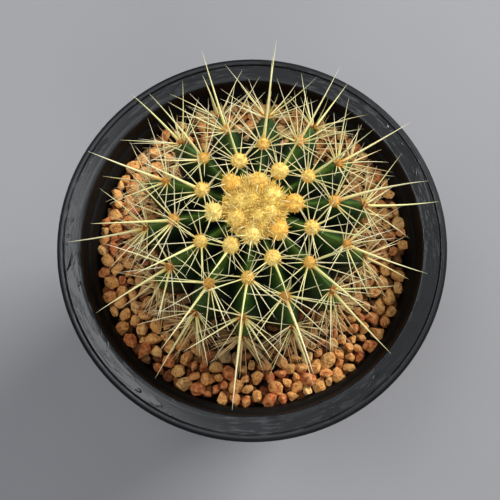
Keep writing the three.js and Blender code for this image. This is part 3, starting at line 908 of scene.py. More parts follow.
def frame_spines(node, centres):
    """The frame's spines of one node, as (foot, tip) pairs. A tip lies well away from each centre."""
    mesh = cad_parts[node].data
    points = np.array([v.co for v in mesh.vertices], float)
    places, which = np.unique(np.round(points, 6), axis=0, return_inverse=True)
    which = which.ravel()
    away = np.min([np.linalg.norm(places - centre, axis=1) for centre in centres], axis=0) > 5 * MM
    if node == "crown_wool":
        reach = np.hypot(places[:, 0] - PLANT_X, places[:, 1])
        away &= (reach >= settings().wool.crown_radius + 3 * MM) | (places[:, 2] >= STEM_HIGH.z + 6.2 * MM)
    tips = np.flatnonzero(away).tolist()
    neighbours = {i: set() for i in tips}
    for face in mesh.polygons:
        corners = [int(which[v]) for v in face.vertices]
        for corner in corners:
            if corner in neighbours:
                neighbours[corner].update(c for c in corners if c != corner)
    spines = []
    for tip in tips:
        feet = [i for i in neighbours[tip] if i not in neighbours]
        if feet and not any(np.linalg.norm(places[tip] - done) < 0.3 * MM for _, done in spines):
            spines.append((places[feet].mean(axis=0), places[tip]))
    return spines


# ---- laying shapes in place ----------------------------------------------------------------------

def lay_spine(heap, rod, foot, tip, radius, bow, tint, age, slot=1):
    """A spine from foot to tip, bulbous at its base, that bows away from a straight line by a share of it."""
    axis = tip - foot
    reach = np.linalg.norm(axis)
    axis = axis / reach
    aside, across = cross_axes(axis)
    lift = aside * bow[0] + across * bow[1]
    t = rod.along
    line = foot + np.outer(t * reach, axis) + np.outer(4 * t * (1 - t) * reach, lift)
    bulb = radius * (1 + 0.2 * (1 - t) ** 8)
    heap.add(rod, line + bulb[:, None] * rod.turned(aside, across), slot, tint, age)


def lay_fibre(heap, rod, foot, direction, reach, radius, curl, tint, age):
    """A curly wool fibre that starts along direction and curls over."""
    aside, across = cross_axes(direction)
    t = rod.along
    swing = curl * reach
    line = (foot + np.outer(t * reach * (1 - 0.25 * t), direction)
            + np.outer(swing * (t * t), aside) + np.outer(0.5 * swing * np.sin(3 * t), across))
    heap.add(rod, line + radius * rod.turned(aside, across), 0, tint, age)


def on_upper_ball(draw, lowest):
    """A random direction on the part of a ball above this height, as shares of aside, down and out."""
    height = draw.uniform(lowest, 1)
    turn = draw.uniform(0, TURN)
    flat = math.sqrt(1 - height * height)
    return flat * math.cos(turn), flat * math.sin(turn), height


def tuft_size(areole):
    """An areole's tuft: its radius along the skin, which wears down with age, and its height above it."""
    wool = settings().wool
    fresh = min(math.exp(0.43 - areole.age), 1.18)
    radius = wool.old_radius + (wool.young_radius - wool.old_radius) * fresh
    radius *= 0.8 + 0.2 * float(smoothstep(-0.6, 0, areole.age))
    return radius, radius * (0.92 - 0.25 * areole.ripe)


class Masters:
    """The shapes that every tuft and spine is copied from."""

    def __init__(self):
        self.thick = drawn_out(6, 8, 0.78)
        self.thin = drawn_out(5, 7, 0.7)
        self.short = drawn_out(4, 3, 0.5)
        self.fibre = drawn_out(3, 3, 0.5)
        self.young_tuft = round_tuft(48, 30)
        self.old_tuft = round_tuft(26, 15)


# How many loose fibres a tuft of wool has.
YOUNG_TUFT_FIBRES = 110
OLD_TUFT_FIBRES = 50


def lay_tuft(heap, masters, areole, draw, tint=0.4):
    """An areole's cushion: a grainy felt core under a fringe of curly fibres."""
    young = areole.pair < YOUNG_PAIRS
    radius, height = tuft_size(areole)
    middle = areole.skin + areole.normal * height * 0.35
    core = masters.young_tuft if young else masters.old_tuft
    ball = core.points
    grains = pebbles(ball, 4.6, areole.pair * RIBS + areole.rib)
    lumps = bump_field(ball, 1.9, areole.pair + areole.rib * 3)
    swollen = ball * (0.84 + 0.10 * grains + 0.17 * lumps)[:, None]
    squeeze = 1 - 0.14 * areole.ripe
    points = (middle - np.outer(swollen[:, 0] * radius * squeeze, areole.aside)
              + np.outer(swollen[:, 1] * radius, areole.down)
              + np.outer(swollen[:, 2] * height, areole.normal))
    # along follows the grains and falls away under the ball: the wool finish turns it into painted shade
    # under the tuft and between grains.
    heap.add(core, points, 0, tint, areole.felt, grains * smoothstep(-0.5, 0.4, ball[:, 2]))
    for _ in range(YOUNG_TUFT_FIBRES if young else OLD_TUFT_FIBRES):
        a, d, n = on_upper_ball(draw, -0.1)
        out = unit(areole.aside * a * height + areole.down * d * height + areole.normal * n * radius)
        foot = middle + 0.84 * (areole.aside * a * radius * squeeze + areole.down * d * radius
                                + areole.normal * n * height)
        lean = unit(out + 0.45 * scatter(draw))
        fibre_tint = draw.uniform(0.8, 1.0) if draw.random() < 0.2 else tint
        lay_fibre(heap, masters.fibre, foot, lean, draw.uniform(0.6, 1.1) * MM,
                  draw.uniform(0.06, 0.10) * MM, draw.uniform(-0.8, 0.8), fibre_tint, areole.felt)


# A central spine rises from the skin by more than this share of its length, and the main one of them also
# points down the rib by more than this share.
CENTRAL_RISE = 0.47
MAIN_FALL = 0.5


def spine_bow(draw):
    return draw.gauss(0, 0.012), draw.gauss(0, 0.018)


def lay_spines(heap, masters, areole, pairs, draw):
    """The spines of one areole, which leave its wool on every side: thick down the rib and thin all round."""
    spines = settings().spines
    tuft_radius, height = tuft_size(areole)
    worn = 1 - 0.15 * float(smoothstep(2, 3.6, areole.age))
    for foot, tip in pairs:
        axis = unit(tip - foot)
        rise = float(axis @ areole.normal)
        central = rise > CENTRAL_RISE
        main = central and float(axis @ areole.down) > MAIN_FALL
        aside = axis - areole.normal * rise
        start = areole.skin + aside * tuft_radius * 0.62
        start = start + areole.normal * height * (0.35 if central else 0.12)
        reach = np.linalg.norm(tip - start)
        radius = spines.thick if main else spines.middle if central else spines.thin
        radius *= (0.6 + 0.4 * min(reach / (24 * MM), 1)) * draw.uniform(0.85, 1.12) * worn
        tint = draw.uniform(0.45, 1) if central else draw.uniform(0, 0.75)
        lay_spine(heap, masters.thick if main else masters.thin, start, tip, radius,
                  spine_bow(draw), tint, areole.worn)


def stands_free(foot, tip, outline):
    """Whether a spine stays off the skin, the granules and the pot."""
    pot = settings().pot
    inner = pot.rim_radius - pot.band_width - 3 * MM
    for t in (0.4, 0.6, 0.8, 1.0):
        x, y, z = foot + (tip - foot) * t
        wide = math.hypot(x, y)
        in_wall = z < pot.height + 1.5 * MM and wide > inner
        in_bed = z < BED_HIGH.z + 0.6 * MM
        stem = outline.radius_at(z) + 0.8 * MM
        in_stem = math.hypot(x - PLANT_X, y) < stem and z < STEM_HIGH.z
        if in_wall or in_bed or in_stem or wide > pot.rim_radius - 1 * MM:
            return False
    return True


# How often a spine is tried, raised at first and shortened at last until it stands free, and the share of
# spines that the oldest areoles have lost.
MOST_ATTEMPTS = 24
RAISED_ATTEMPTS = 14
LONG_ATTEMPTS = 12
LOST_SPINES = 0.12


def grow_spines(areole, plan, outline, draw):
    """New spines for an areole that has none in the frame, or too few, raised until they stand free."""
    longest = settings().spines.longest
    grown = 0.42 + 0.58 * float(smoothstep(0, 1.3, areole.age))
    grown *= 1 - 0.22 * float(smoothstep(1.9, 3.4, areole.age))
    pairs = []
    for clock, lean, share in plan:
        if areole.pair >= FRAME_PAIRS and draw.random() < LOST_SPINES:
            continue
        heading = areole.direction(clock + draw.uniform(-7, 7), lean + draw.uniform(-6, 6))
        reach = longest * share * grown * draw.uniform(0.88, 1.08)
        for attempt in range(MOST_ATTEMPTS):
            raised = unit(heading + UP * 0.10 * min(attempt, RAISED_ATTEMPTS))
            shorter = reach * (1 - 0.05 * max(attempt - LONG_ATTEMPTS, 0))
            foot = areole.skin + areole.normal * MM
            tip = foot + raised * shorter
            if stands_free(foot, tip, outline):
                pairs.append((areole.skin + areole.normal * 0.8 * MM, tip))
                break
    return pairs


# ---- pieces: pot, mix, roots, granules -----------------------------------------------------------

def rounded(corners, steps=4):
    """An outline whose corners (radius, height, fillet) are turned into short arcs."""
    points = []
    last = len(corners) - 1
    for i, (r, z, fillet) in enumerate(corners):
        here = np.array([r, z])
        if fillet == 0 or i in (0, last):
            points.append(here)
            continue
        before = unit(np.array(corners[i - 1][:2]) - here)
        after = unit(np.array(corners[i + 1][:2]) - here)
        half = math.acos(float(np.clip(before @ after, -1, 1))) / 2
        set_back = fillet / math.tan(half)
        centre = here + unit(before + after) * fillet / math.sin(half)
        first, final = here + before * set_back - centre, here + after * set_back - centre
        for step in range(steps + 1):
            blend = unit(first * (1 - step / steps) + final * (step / steps))
            points.append(centre + blend * fillet)
    return points


def spun(points, steps):
    """A closed wall, drawn as a chain of points and spun round the vertical axis."""
    deselect()
    bpy.ops.mesh.primitive_plane_add(size=MM, location=(points[0][0], 0, points[0][1]))
    thing = bpy.context.object
    edit_all()
    bpy.ops.mesh.merge(type="CENTER")
    for before, after in zip(points, points[1:]):
        step = (after[0] - before[0], 0, after[1] - before[1])
        bpy.ops.mesh.extrude_region_move(TRANSFORM_OT_translate={"value": step})
    bpy.ops.mesh.select_all(action="SELECT")
    bpy.ops.mesh.spin(steps=steps, angle=TURN, center=(0, 0, 0), axis=(0, 0, 1))
    bpy.ops.mesh.select_all(action="SELECT")
    bpy.ops.mesh.remove_doubles(threshold=CLOSE)
    bpy.ops.mesh.normals_make_consistent(inside=False)
    bpy.ops.object.mode_set(mode="OBJECT")
    bpy.ops.object.transform_apply(location=True, rotation=True, scale=True)
    return thing


def cut_away(thing, cutter):
    activate(thing)
    cut = thing.modifiers.new("cut", "BOOLEAN")
    cut.operation = "DIFFERENCE"
    cut.solver = "EXACT"
    cut.object = cutter
    bpy.ops.object.modifier_apply(modifier=cut.name)
    bpy.data.objects.remove(cutter)


def merge_close(thing):
    """Makes one point of those that a cut left on top of each other."""
    activate(thing)
    edit_all()
    bpy.ops.mesh.remove_doubles(threshold=CLOSE)
    bpy.ops.object.mode_set(mode="OBJECT")


DRAINS = 8


def drain_cutters(pot):
    """Round holes in a ring, and the shallow channels that lead from them to the base's edge."""
    circle, width, depth = 34 * MM, 6 * MM, 1.6 * MM
    for i in range(DRAINS):
        angle = i / DRAINS * TURN
        c, s = math.cos(angle), math.sin(angle)
        deselect()
        bpy.ops.mesh.primitive_cylinder_add(
            vertices=28, radius=pot.drain_radius, depth=4 * pot.floor, location=(circle * c, circle * s, 0))
        yield bpy.context.object
        reach = pot.base_radius - circle + 2 * MM
        middle = circle + reach / 2
        deselect()
        bpy.ops.mesh.primitive_cube_add(size=1, location=(middle * c, middle * s, 0), rotation=(0, 0, angle))
        channel = bpy.context.object
        channel.scale = (reach, width, 2 * depth)
        yield channel


def pot_outline(pot):
    """Corners of the pot's section, from the base's centre out, over the rim and down inside."""
    rim, top = pot.rim_radius, pot.height
    inner, wall = rim - pot.band_width, pot.wall
    bed = BED_HIGH.z - 1 * MM
    return [
        (0, 0, 0),
        (pot.base_radius, 0, 1.5 * MM),
        (inner - 3 * MM + wall, 105 * MM, 6 * MM),
        (inner - 0.9 * MM + wall, top - 9 * MM, 2 * MM),
        (inner + wall, top - 2.4 * MM, 0.5 * MM),
        (rim - wall, top - 2.4 * MM, 0.6 * MM),
        (rim - wall, top - pot.skirt_depth, 0.5 * MM),
        (rim, top - pot.skirt_depth, 0.5 * MM),
        (rim, top, 1.25 * MM),
        (rim - 2.5 * MM, top, 0.7 * MM),
        (rim - 2.9 * MM, top - 0.75 * MM, 0.25 * MM),
        (inner + 2.2 * MM, top - 0.35 * MM, 4 * MM),
        (inner - 0.05 * MM, top - 0.5 * MM, 0.9 * MM),
        (inner - 0.9 * MM, top - 9 * MM, 0.4 * MM),
        (inner - 2.1 * MM, top - 9.8 * MM, 0.4 * MM),
        (inner - 3 * MM, bed, 4 * MM),
        (pot.base_radius - wall, pot.floor, 1.2 * MM),
        (0, pot.floor, 0),
    ]


class CACTUS_OT_pot(bpy.types.Operator):
    """Spin the pot's wall and cut its drain holes and channels"""
    bl_idname = "cactus.pot"
    bl_label = "Pot"

    STEPS_ROUND = 144

    def execute(self, context):
        pot = settings().pot
        thing = spun(rounded(pot_outline(pot)), self.STEPS_ROUND)
        for cutter in drain_cutters(pot):
            cut_away(thing, cutter)
        merge_close(thing)
        smooth_by_angle(thing, 40)
        self.mark_finishes(thing, pot)
        deliver(thing, "pot_shell", [wet_plastic(), dull_plastic(), dry_plastic()], ["pot"])
        return {"FINISHED"}

    @staticmethod
    def mark_finishes(thing, pot):
        """Gives the inner wall and floor the second finish, and all but the band the third."""
        mouth = pot.rim_radius - pot.band_width
        for face in thing.data.polygons:
            centre, normal = face.center, face.normal
            reach = math.hypot(centre.x, centre.y)
            inward = centre.x * normal.x + centre.y * normal.y < -0.2 * reach
            on_floor = abs(centre.z - pot.floor) < 1 * MM and normal.z > 0.9
            near_band = mouth - 1 * MM < reach < pot.rim_radius - 1.3 * MM
            if near_band and centre.z > pot.height - 1.5 * MM and normal.z > 0:
                face.material_index = 0
            elif (inward or on_floor) and centre.z > pot.floor - 1 * MM and reach < mouth + 1 * MM:
                face.material_index = 1
            else:
                face.material_index = 2


class CACTUS_OT_filling(bpy.types.Operator):
    """Give the potting mix and the roots their finishes"""
    bl_idname = "cactus.filling"
    bl_label = "Potting mix and roots"

    def execute(self, context):
        for node, material in (("potting_mix", damp_mix()), ("root_system", root_bark())):
            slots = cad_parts[node].data.materials
            slots.clear()
            slots.append(material)
        return {"FINISHED"}


# How often the granules push each other apart, and the share of the overlap that each push takes up.
PACKING_ROUNDS = 90
PUSH = 0.32


def packed_ring(inner, outer, radii, draw):
    """Places for grains of these radii that push each other apart within a ring."""
    count = len(radii)
    turns = [draw.uniform(0, TURN) for _ in range(count)]
    reaches = [math.sqrt(draw.uniform(inner ** 2, outer ** 2)) for _ in range(count)]
    places = np.array([(r * math.cos(t), r * math.sin(t)) for r, t in zip(reaches, turns)])
    room = radii[:, None] + radii[None, :]
    alone = np.eye(count)
    for _ in range(PACKING_ROUNDS):
        apart = places[:, None] - places[None, :]
        gap = np.linalg.norm(apart, axis=2) + alone
        push = np.clip(room - gap, 0, None) * (1 - alone)
        places = places + PUSH * (apart / gap[..., None] * push[..., None]).sum(axis=1)
        reach = np.linalg.norm(places, axis=1)
        kept = np.clip(reach, inner, outer)
        places = places * (kept / reach)[:, None]
    return places


def lay_granules(heap, shapes, count, height, inner, outer, under, draw):
    """One layer of granules: under is 0 for the top one and 1 for the one below it, which the clay darkens as
    painted shade.
    """
    granules = settings().granules
    radii = np.array([granules.radius * draw.uniform(0.66, 1.24) for _ in range(count)])
    places = packed_ring(inner + granules.radius * 0.7, outer - granules.radius * 0.88, radii * 0.90, draw)
    for (x, y), radius in zip(places, radii):
        shape = shapes[draw.randrange(len(shapes))]
        spin = np.array(Vector(scatter(draw)).to_track_quat("Z", "Y").to_matrix())
        turned = shape.points @ spin.T * radius
        centre = np.array([x + PLANT_X * 0.3, y, height + draw.gauss(0, 0.45) * MM])
        heap.add(shape, centre + turned, 0, draw.random(), under)


class CACTUS_OT_granules(bpy.types.Operator):
    """Pack two layers of clay granules round the stem"""
    bl_idname = "cactus.granules"
    bl_label = "Clay granules"

    SEED = 21
    MASTERS = 14
    SMOOTH_ANGLE = 34

    def execute(self, context):
        draw = random.Random(self.SEED)
        granules, pot = settings().granules, settings().pot
        shapes = [master_granule(draw) for _ in range(self.MASTERS)]
        outline = Outline(settings().stem)
        stem = outline.radius_at(BED_HIGH.z) - 6 * MM
        wall = pot.rim_radius - pot.band_width - 3 * MM
        top = BED_HIGH.z - granules.radius * 1.25
        heap = Heap()
        lay_granules(heap, shapes, granules.under_count, top - 3.1 * MM, stem, wall, 1, draw)
        lay_granules(heap, shapes, granules.top_count, top, stem, wall, 0, draw)
        thing = heap.make("clay_granules", self.SMOOTH_ANGLE)
        deliver(thing, "clay_granules", [fired_clay()], ["gravel_dressing"])
        return {"FINISHED"}


# ---- pieces: stem --------------------------------------------------------------------------------

def rib_section(across):
    """Depth from crest (0) to valley (1): a rounded crest, slightly full flanks and a creased valley."""
    soft = 0.17
    straight = (np.sqrt(across ** 2 + soft ** 2) - soft) / (math.sqrt(1 + soft ** 2) - soft)
    return straight ** 0.94


def valley_depth(stem, arc, radius, total):
    grown = stem.rib_depth * smoothstep(3 * MM, 26 * MM, arc)
    worn = 1 - 0.35 * smoothstep(60 * MM, total, arc)
    return np.minimum(grown * worn, 0.4 * radius)


class CACTUS_OT_stem(bpy.types.Operator):
    """Shape a fine sphere into the ribbed stem, swollen under each areole"""
    bl_idname = "cactus.stem"
    bl_label = "Ribbed stem"

    COLUMNS_PER_RIB = 14
    ROWS = 130

    def execute(self, context):
        stem = settings().stem
        deselect()
        bpy.ops.mesh.primitive_uv_sphere_add(segments=RIBS * self.COLUMNS_PER_RIB, ring_count=self.ROWS)
        thing = bpy.context.object
        row, turn, phase = self.grid(points_of(thing))
        outline = Outline(stem)
        arc = np.minimum(row, self.ROWS - 1) / (self.ROWS - 1) * outline.length
        across = np.abs(phase - np.rint(phase)) * 2
        depth_share = rib_section(across)
        r, z, out, up = outline.at(arc)
        depth = valley_depth(stem, arc, r, outline.length) * depth_share
        depth -= self.swelling(arc, phase, across, all_areoles(outline)) * smoothstep(2 * MM, 9 * MM, arc)
        wander = bump_field(np.stack([np.cos(turn) * 2.2, np.sin(turn) * 2.2, arc * 38], axis=1), 1, 4)
        depth += wander * 0.45 * MM * smoothstep(4 * MM, 20 * MM, arc)
        radius = np.where((row == 0) | (row == self.ROWS), 0, r - out * depth)
        height = np.where(row == self.ROWS, STEM_LOW.z, z - up * depth)
        height = np.clip(height, STEM_LOW.z, STEM_HIGH.z + 0.2 * MM)
        angle = self.swayed(stem, phase, arc)
        move_points(thing, np.stack(
            [PLANT_X + radius * np.cos(angle), radius * np.sin(angle), height], axis=1))
        mark_points(thing, "valley", depth_share * smoothstep(4 * MM, 14 * MM, arc))
        smooth_by_angle(thing, 60)
        deliver(thing, "ribbed_stem", [cactus_skin()], ["cactus_body"])
        return {"FINISHED"}

    def grid(self, ball):
        """Each point's row from the top, its turn, and its phase, which is whole on the ribs' crests."""
        row = np.rint(np.arccos(np.clip(ball[:, 2], -1, 1)) / math.pi * self.ROWS)
        turn = np.arctan2(ball[:, 1], ball[:, 0])
        turn[(row == 0) | (row == self.ROWS)] = 0
        return row, turn, np.rint(turn / TURN * RIBS * self.COLUMNS_PER_RIB) / self.COLUMNS_PER_RIB

    @staticmethod
    def swayed(stem, phase, arc):
        """The angle round the stem at each point, as the ribs sway a little on their way down."""
        sway = bump_field(np.stack([phase * 1.7, arc * 60, np.zeros(len(arc))], axis=1), 1, 9)
        return stem.first_rib + phase / RIBS * TURN + sway * 0.012 * smoothstep(6 * MM, 24 * MM, arc)

    @staticmethod
    def swelling(arc, phase, across, areoles):
        """How far the crest stands out under its areoles and dips between them."""
        rib = np.rint(phase).astype(int) % RIBS
        bulge = np.zeros(len(arc))
        for areole in areoles:
            here = rib == areole.rib
            bulge[here] = np.maximum(bulge[here], np.exp(-((arc[here] - areole.arc) / (3.6 * MM)) ** 2))
        crest = np.exp(-(across / 0.42) ** 2)
        return (1.25 * bulge - 0.75) * crest * MM


# ---- pieces: wool and spines ---------------------------------------------------------------------

def wool_and_horn():
    """The two finishes of every tuft, made once."""
    found = [bpy.data.materials.get(name) for name in ("woolly_felt", "spine_horn")]
    return found if all(found) else [areole_wool(), spine_horn()]


def crown_height_at(reach):
    """How high the crown's wool stands over the stem, this far from its centre."""
    wool = settings().wool
    fall = min(reach / wool.crown_radius, 1)
    return wool.crown_height * math.sqrt(1 - fall ** 2)


def lay_crown_dome(heap):
    """The felted disc over the growing point, as grainy as packed beads."""
    wool = settings().wool
    deselect()
    bpy.ops.mesh.primitive_uv_sphere_add(segments=150, ring_count=90, radius=1)
    dome = Shape(bpy.context.object)
    ball = dome.points
    grains = pebbles(ball * np.array([1, 1, 0.4]), 10, 1)
    dimple = 1 - 0.3 * np.exp(-(np.hypot(*ball.T[:2]) / 0.35) ** 2)
    lumps = bump_field(ball, 3.4, 2)
    wide = wool.crown_radius * 0.87 * (1 + 0.16 * lumps + 0.03 * grains)
    above = ball[:, 2] > 0
    tall = np.where(above, wool.crown_height * dimple * (0.80 + 0.10 * grains + 0.34 * lumps), 2 * MM)
    points = np.stack([PLANT_X + ball[:, 0] * wide, ball[:, 1] * wide,
                       STEM_HIGH.z - 0.6 * MM + ball[:, 2] * tall], axis=1)
    outer = smoothstep(0.4, 0.8, np.hypot(*ball.T[:2]))
    amber = 0.45 + 0.40 * smoothstep(0.1, 0.6, bump_field(ball, 2.1, 7)) * outer
    # along follows the grains and falls away under the dome: the wool finish turns it into painted shade
    # there and between grains.
    heap.add(dome, points, 0, amber, 0.03, grains * smoothstep(-0.1, 0.25, ball[:, 2]))


class CACTUS_OT_crown(bpy.types.Operator):
    """Felt the crown's wool and grow the youngest spines in it"""
    bl_idname = "cactus.crown"
    bl_label = "Crown wool"

    SEED = 7
    FIBRES = 2200
    SPINELETS = 950
    STUBS = 34
    UNOPENED_PAIRS = (-3, -2, -1)
    UNOPENED_LIFT = 0.06
    AMBER_TINTS = (0.4, 0.45, 0.7, 0.4, 0.45, 0.8, 0.86, 0.45, 0.95, 0.93, 0.92, 0.45)

    def execute(self, context):
        draw = random.Random(self.SEED)
        outline = Outline(settings().stem)
        masters = Masters()
        heap = Heap()
        lay_crown_dome(heap)
        inner = [a for a in all_areoles(outline) if a.pair < CROWN_PAIRS]
        for areole, tint in zip(self.unopened(outline) + inner, self.AMBER_TINTS):
            areole.felt = 0.0
            lay_tuft(heap, masters, areole, draw, tint)
            self.lay_cluster(heap, masters, areole, tint, draw)
        self.lay_crown_fibres(heap, masters, draw)
        self.lay_young_spines(heap, masters, inner, draw)
        thing = heap.make("crown_wool_tuft")
        deliver(thing, "crown_wool_tuft", wool_and_horn(), ["crown_wool"])
        return {"FINISHED"}

    def unopened(self, outline):
        """The areoles still inside the crown, which go on along the spiral and lift its wool in lumps."""
        draws = plant_draws(PLANT_SEED + 1)
        found = [Areole(pair, side, outline, draws) for pair in self.UNOPENED_PAIRS for side in (0, 1)]
        for areole in found:
            reach = math.hypot(areole.skin[0] - PLANT_X, areole.skin[1])
            areole.skin += UP * crown_height_at(reach) * self.UNOPENED_LIFT
        return found

    def lay_cluster(self, heap, masters, areole, tint, draw):
        """Stubby spines that break through the wool of a young areole."""
        radius, height = tuft_size(areole)
        for _ in range(self.STUBS):
            a, d, n = on_upper_ball(draw, 0.1)
            out = unit(areole.aside * a + areole.down * d + areole.normal * n)
            foot = areole.skin + areole.normal * height * 0.35 + out * radius * 0.6
            tip = foot + out * draw.uniform(1.4, 2.9) * MM
            lay_spine(heap, masters.short, foot, tip, 0.18 * MM, spine_bow(draw), tint, 0.0, 0)

    @staticmethod
    def sprout(place, turn, sunk, fan, loose, draw):
        """Where something grows from the crown's wool: its foot and its heading, which fans out sideways."""
        wool = settings().wool
        reach = wool.crown_radius * 0.90 * math.sqrt(place)
        out = np.array([math.cos(turn), math.sin(turn), 0])
        foot = np.array([PLANT_X, 0, STEM_HIGH.z - sunk]) + out * reach + UP * crown_height_at(reach)
        return foot, unit(UP + out * fan(reach / wool.crown_radius) + loose * scatter(draw))

    def lay_crown_fibres(self, heap, masters, draw):
        for i in range(self.FIBRES):
            foot, heading = self.sprout((i + 0.5) / self.FIBRES, i * GOLDEN_ANGLE, 0.9 * MM,
                                        lambda edge: 0.2 + 1.1 * edge ** 3, 0.5, draw)
            tint = 0.4 if draw.random() < 0.7 else draw.uniform(0.8, 1)
            lay_fibre(heap, masters.fibre, foot, heading, draw.uniform(0.5, 1.1) * MM,
                      draw.uniform(0.09, 0.15) * MM, draw.uniform(-0.8, 0.8), tint, 0.04)

    def lay_young_spines(self, heap, masters, inner, draw):
        """The frame's young spines, and a great many short ones that hardly clear the wool."""
        thin = settings().spines.thin
        for foot, tip in frame_spines("crown_wool", [a.skin for a in inner]):
            axis = unit(tip - foot)
            lay_spine(heap, masters.thin, foot - axis * 1.2 * MM, tip, thin * draw.uniform(0.85, 1.1),
                      spine_bow(draw), draw.uniform(0.1, 0.6), 0.1)
        for i in range(self.SPINELETS):
            turn = i * GOLDEN_ANGLE + draw.uniform(-0.2, 0.2)
            foot, heading = self.sprout((i + 0.5) / self.SPINELETS, turn, 1.2 * MM,
                                        lambda edge: 0.12 + 0.9 * edge ** 2, 0.2, draw)
            tip = foot + heading * draw.uniform(1.4, 3.0) * MM
            lay_spine(heap, masters.short, foot, tip, draw.uniform(0.15, 0.23) * MM,
                      spine_bow(draw), draw.uniform(0.1, 0.6), 0.0, 0)


class CACTUS_OT_areoles(bpy.types.Operator):
    """Give each areole its tuft of wool and its spines"""
    bl_idname = "cactus.areoles"
    bl_label = "Areoles and spines"

    FIRST_SEED = 1000
    SEEDS_PER_PAIR = 20

    def execute(self, context):
        outline = Outline(settings().stem)
        masters = Masters()
        for areole in all_areoles(outline):
            if not CROWN_PAIRS <= areole.pair < FRAME_PAIRS:
                continue
            draw = random.Random(self.FIRST_SEED + areole.pair * self.SEEDS_PER_PAIR + areole.rib)
            heap = Heap()
            lay_tuft(heap, masters, areole, draw)
            pairs = frame_spines(areole.node, [areole.skin])
            pairs += grow_spines(areole, UPPER_RADIALS, outline, draw)
            lay_spines(heap, masters, areole, pairs, draw)
            name = areole.node.replace("spine_cluster", "areole")
            deliver(heap.make(name), name, wool_and_horn(), [areole.node])
        return {"FINISHED"}


class CACTUS_OT_lower_areoles(bpy.types.Operator):
    """Grow the oldest areoles, low on each rib, as one piece a rib"""
    bl_idname = "cactus.lower_areoles"
    bl_label = "Lower areoles"

    FIRST_SEED = 4000

    def execute(self, context):
        outline = Outline(settings().stem)
        masters = Masters()
        lower = [a for a in all_areoles(outline) if a.pair >= FRAME_PAIRS]
        for rib in range(RIBS):
            draw = random.Random(self.FIRST_SEED + rib)
            heap = Heap()
            for areole in (a for a in lower if a.rib == rib):
                lay_tuft(heap, masters, areole, draw)
                lay_spines(heap, masters, areole, grow_spines(areole, SPINE_PLAN, outline, draw), draw)
            name = f"lower_areoles_rib_{rib + 1:02d}"
            deliver(heap.make(name), name, wool_and_horn())
        return {"FINISHED"}


# ---- stage ---------------------------------------------------------------------------------------

def area_light(name, place, aim, size, power, tint):
    light = bpy.data.lights.new(name, "AREA")
    light.shape = "RECTANGLE"
    light.size, light.size_y = size
    light.energy = power
    light.color = tint
    thing = bpy.data.objects.new(name, light)
    bpy.context.scene.collection.objects.link(thing)
    thing.location = place
    thing.rotation_euler = (Vector(aim) - Vector(place)).to_track_quat("-Z", "Y").to_euler()
    return thing


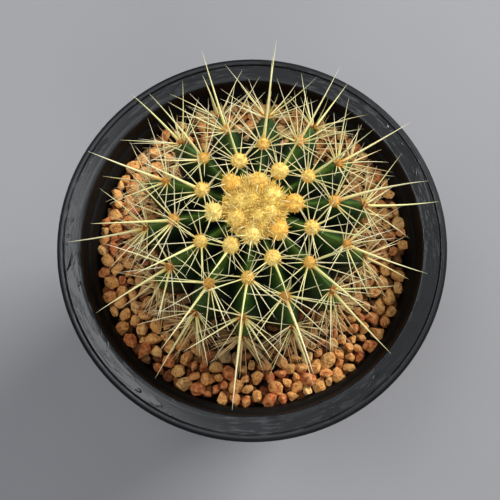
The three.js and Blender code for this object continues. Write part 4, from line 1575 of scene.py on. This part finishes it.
class CACTUS_OT_stage(bpy.types.Operator):
    """Lay the floor, hang the lights and set up the camera"""
    bl_idname = "cactus.stage"
    bl_label = "Stage"

    def execute(self, context):
        stage = settings().stage
        deselect()
        bpy.ops.mesh.primitive_plane_add(size=4)
        floor = bpy.context.object
        floor.name = "stage_floor"
        floor.data.materials.append(plain_floor())
        self.hang_lights(stage)
        self.light_room(context, stage)
        self.add_camera(context, stage)
        return {"FINISHED"}

    @staticmethod
    def hang_lights(stage):
        rim = (0, 0, POT_HIGH.z)
        clear, warm, cool = (0.97, 0.985, 1.0), (1.0, 0.985, 0.965), (0.95, 0.975, 1.0)
        under_panel = (-0.46, 0.15, 0)
        area_light("panel_overhead", (-0.46, 0.15, 1.62), under_panel, (0.6, 0.74), stage.panel_light, clear)
        area_light("soft_overhead", (0, 0.3, 1.7), (0, 0.3, 0), (2.0, 2.0), stage.overhead_light, clear)
        area_light("side_light", (1.15, 0.95, 0.95), rim, (0.8, 0.8), stage.side_light, warm)
        area_light("left_fill", (-1.30, 0.75, 0.95), rim, (0.9, 0.9), stage.fill_light, cool)
        area_light("front_fill", (0.25, -1.45, 0.95), rim, (0.9, 0.9), stage.fill_light, cool)

    @staticmethod
    def light_room(context, stage):
        world = bpy.data.worlds.new("room")
        world.use_nodes = True
        sky = world.node_tree.nodes["Background"]
        sky.inputs["Color"].default_value = (0.92, 0.95, 1.0, 1)
        sky.inputs["Strength"].default_value = stage.sky
        context.scene.world = world
        context.scene.view_settings.view_transform = "Standard"

    @staticmethod
    def add_camera(context, stage):
        aim = Vector((-0.8 * MM, -3.2 * MM, POT_HIGH.z))
        back = Vector((0, -math.cos(stage.elevation), math.sin(stage.elevation)))
        camera = bpy.data.objects.new("camera", bpy.data.cameras.new("camera"))
        context.scene.collection.objects.link(camera)
        camera.location = aim + back * stage.distance
        camera.rotation_euler = (-back).to_track_quat("-Z", "Y").to_euler()
        camera.data.lens = stage.lens
        camera.data.sensor_width = 36
        camera.data.clip_start = 0.01
        context.scene.camera = camera


# ---- add-on --------------------------------------------------------------------------------------

OPERATORS = (
    CACTUS_OT_stage,
    CACTUS_OT_pot,
    CACTUS_OT_filling,
    CACTUS_OT_granules,
    CACTUS_OT_stem,
    CACTUS_OT_crown,
    CACTUS_OT_areoles,
    CACTUS_OT_lower_areoles,
)


class CACTUS_PT_sidebar(bpy.types.Panel):
    """Sizes, colours and pieces of the potted cactus"""
    bl_idname = "CACTUS_PT_sidebar"
    bl_label = "Potted Cactus"
    bl_space_type = "VIEW_3D"
    bl_region_type = "UI"
    bl_category = "Cactus"

    def draw(self, context):
        cactus = context.scene.potted_cactus
        for group, cls in SETTINGS.items():
            box = self.layout.box()
            box.label(text=group.capitalize())
            for key in cls.__annotations__:
                box.prop(getattr(cactus, group), key)
        for operator in OPERATORS:
            self.layout.operator(operator.bl_idname)


CLASSES = (*SETTINGS.values(), CactusSettings, *OPERATORS, CACTUS_PT_sidebar)


def register():
    for cls in CLASSES:
        bpy.utils.register_class(cls)
    bpy.types.Scene.potted_cactus = PointerProperty(type=CactusSettings)


def unregister():
    del bpy.types.Scene.potted_cactus
    for cls in reversed(CLASSES):
        bpy.utils.unregister_class(cls)


def main():
    register()
    bpy.ops.cactus.stage()
    bpy.ops.cactus.pot()
    bpy.ops.cactus.filling()
    bpy.ops.cactus.granules()
    bpy.ops.cactus.stem()
    bpy.ops.cactus.crown()
    bpy.ops.cactus.areoles()
    bpy.ops.cactus.lower_areoles()
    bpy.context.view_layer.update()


if __name__ == "__main__":
    main()
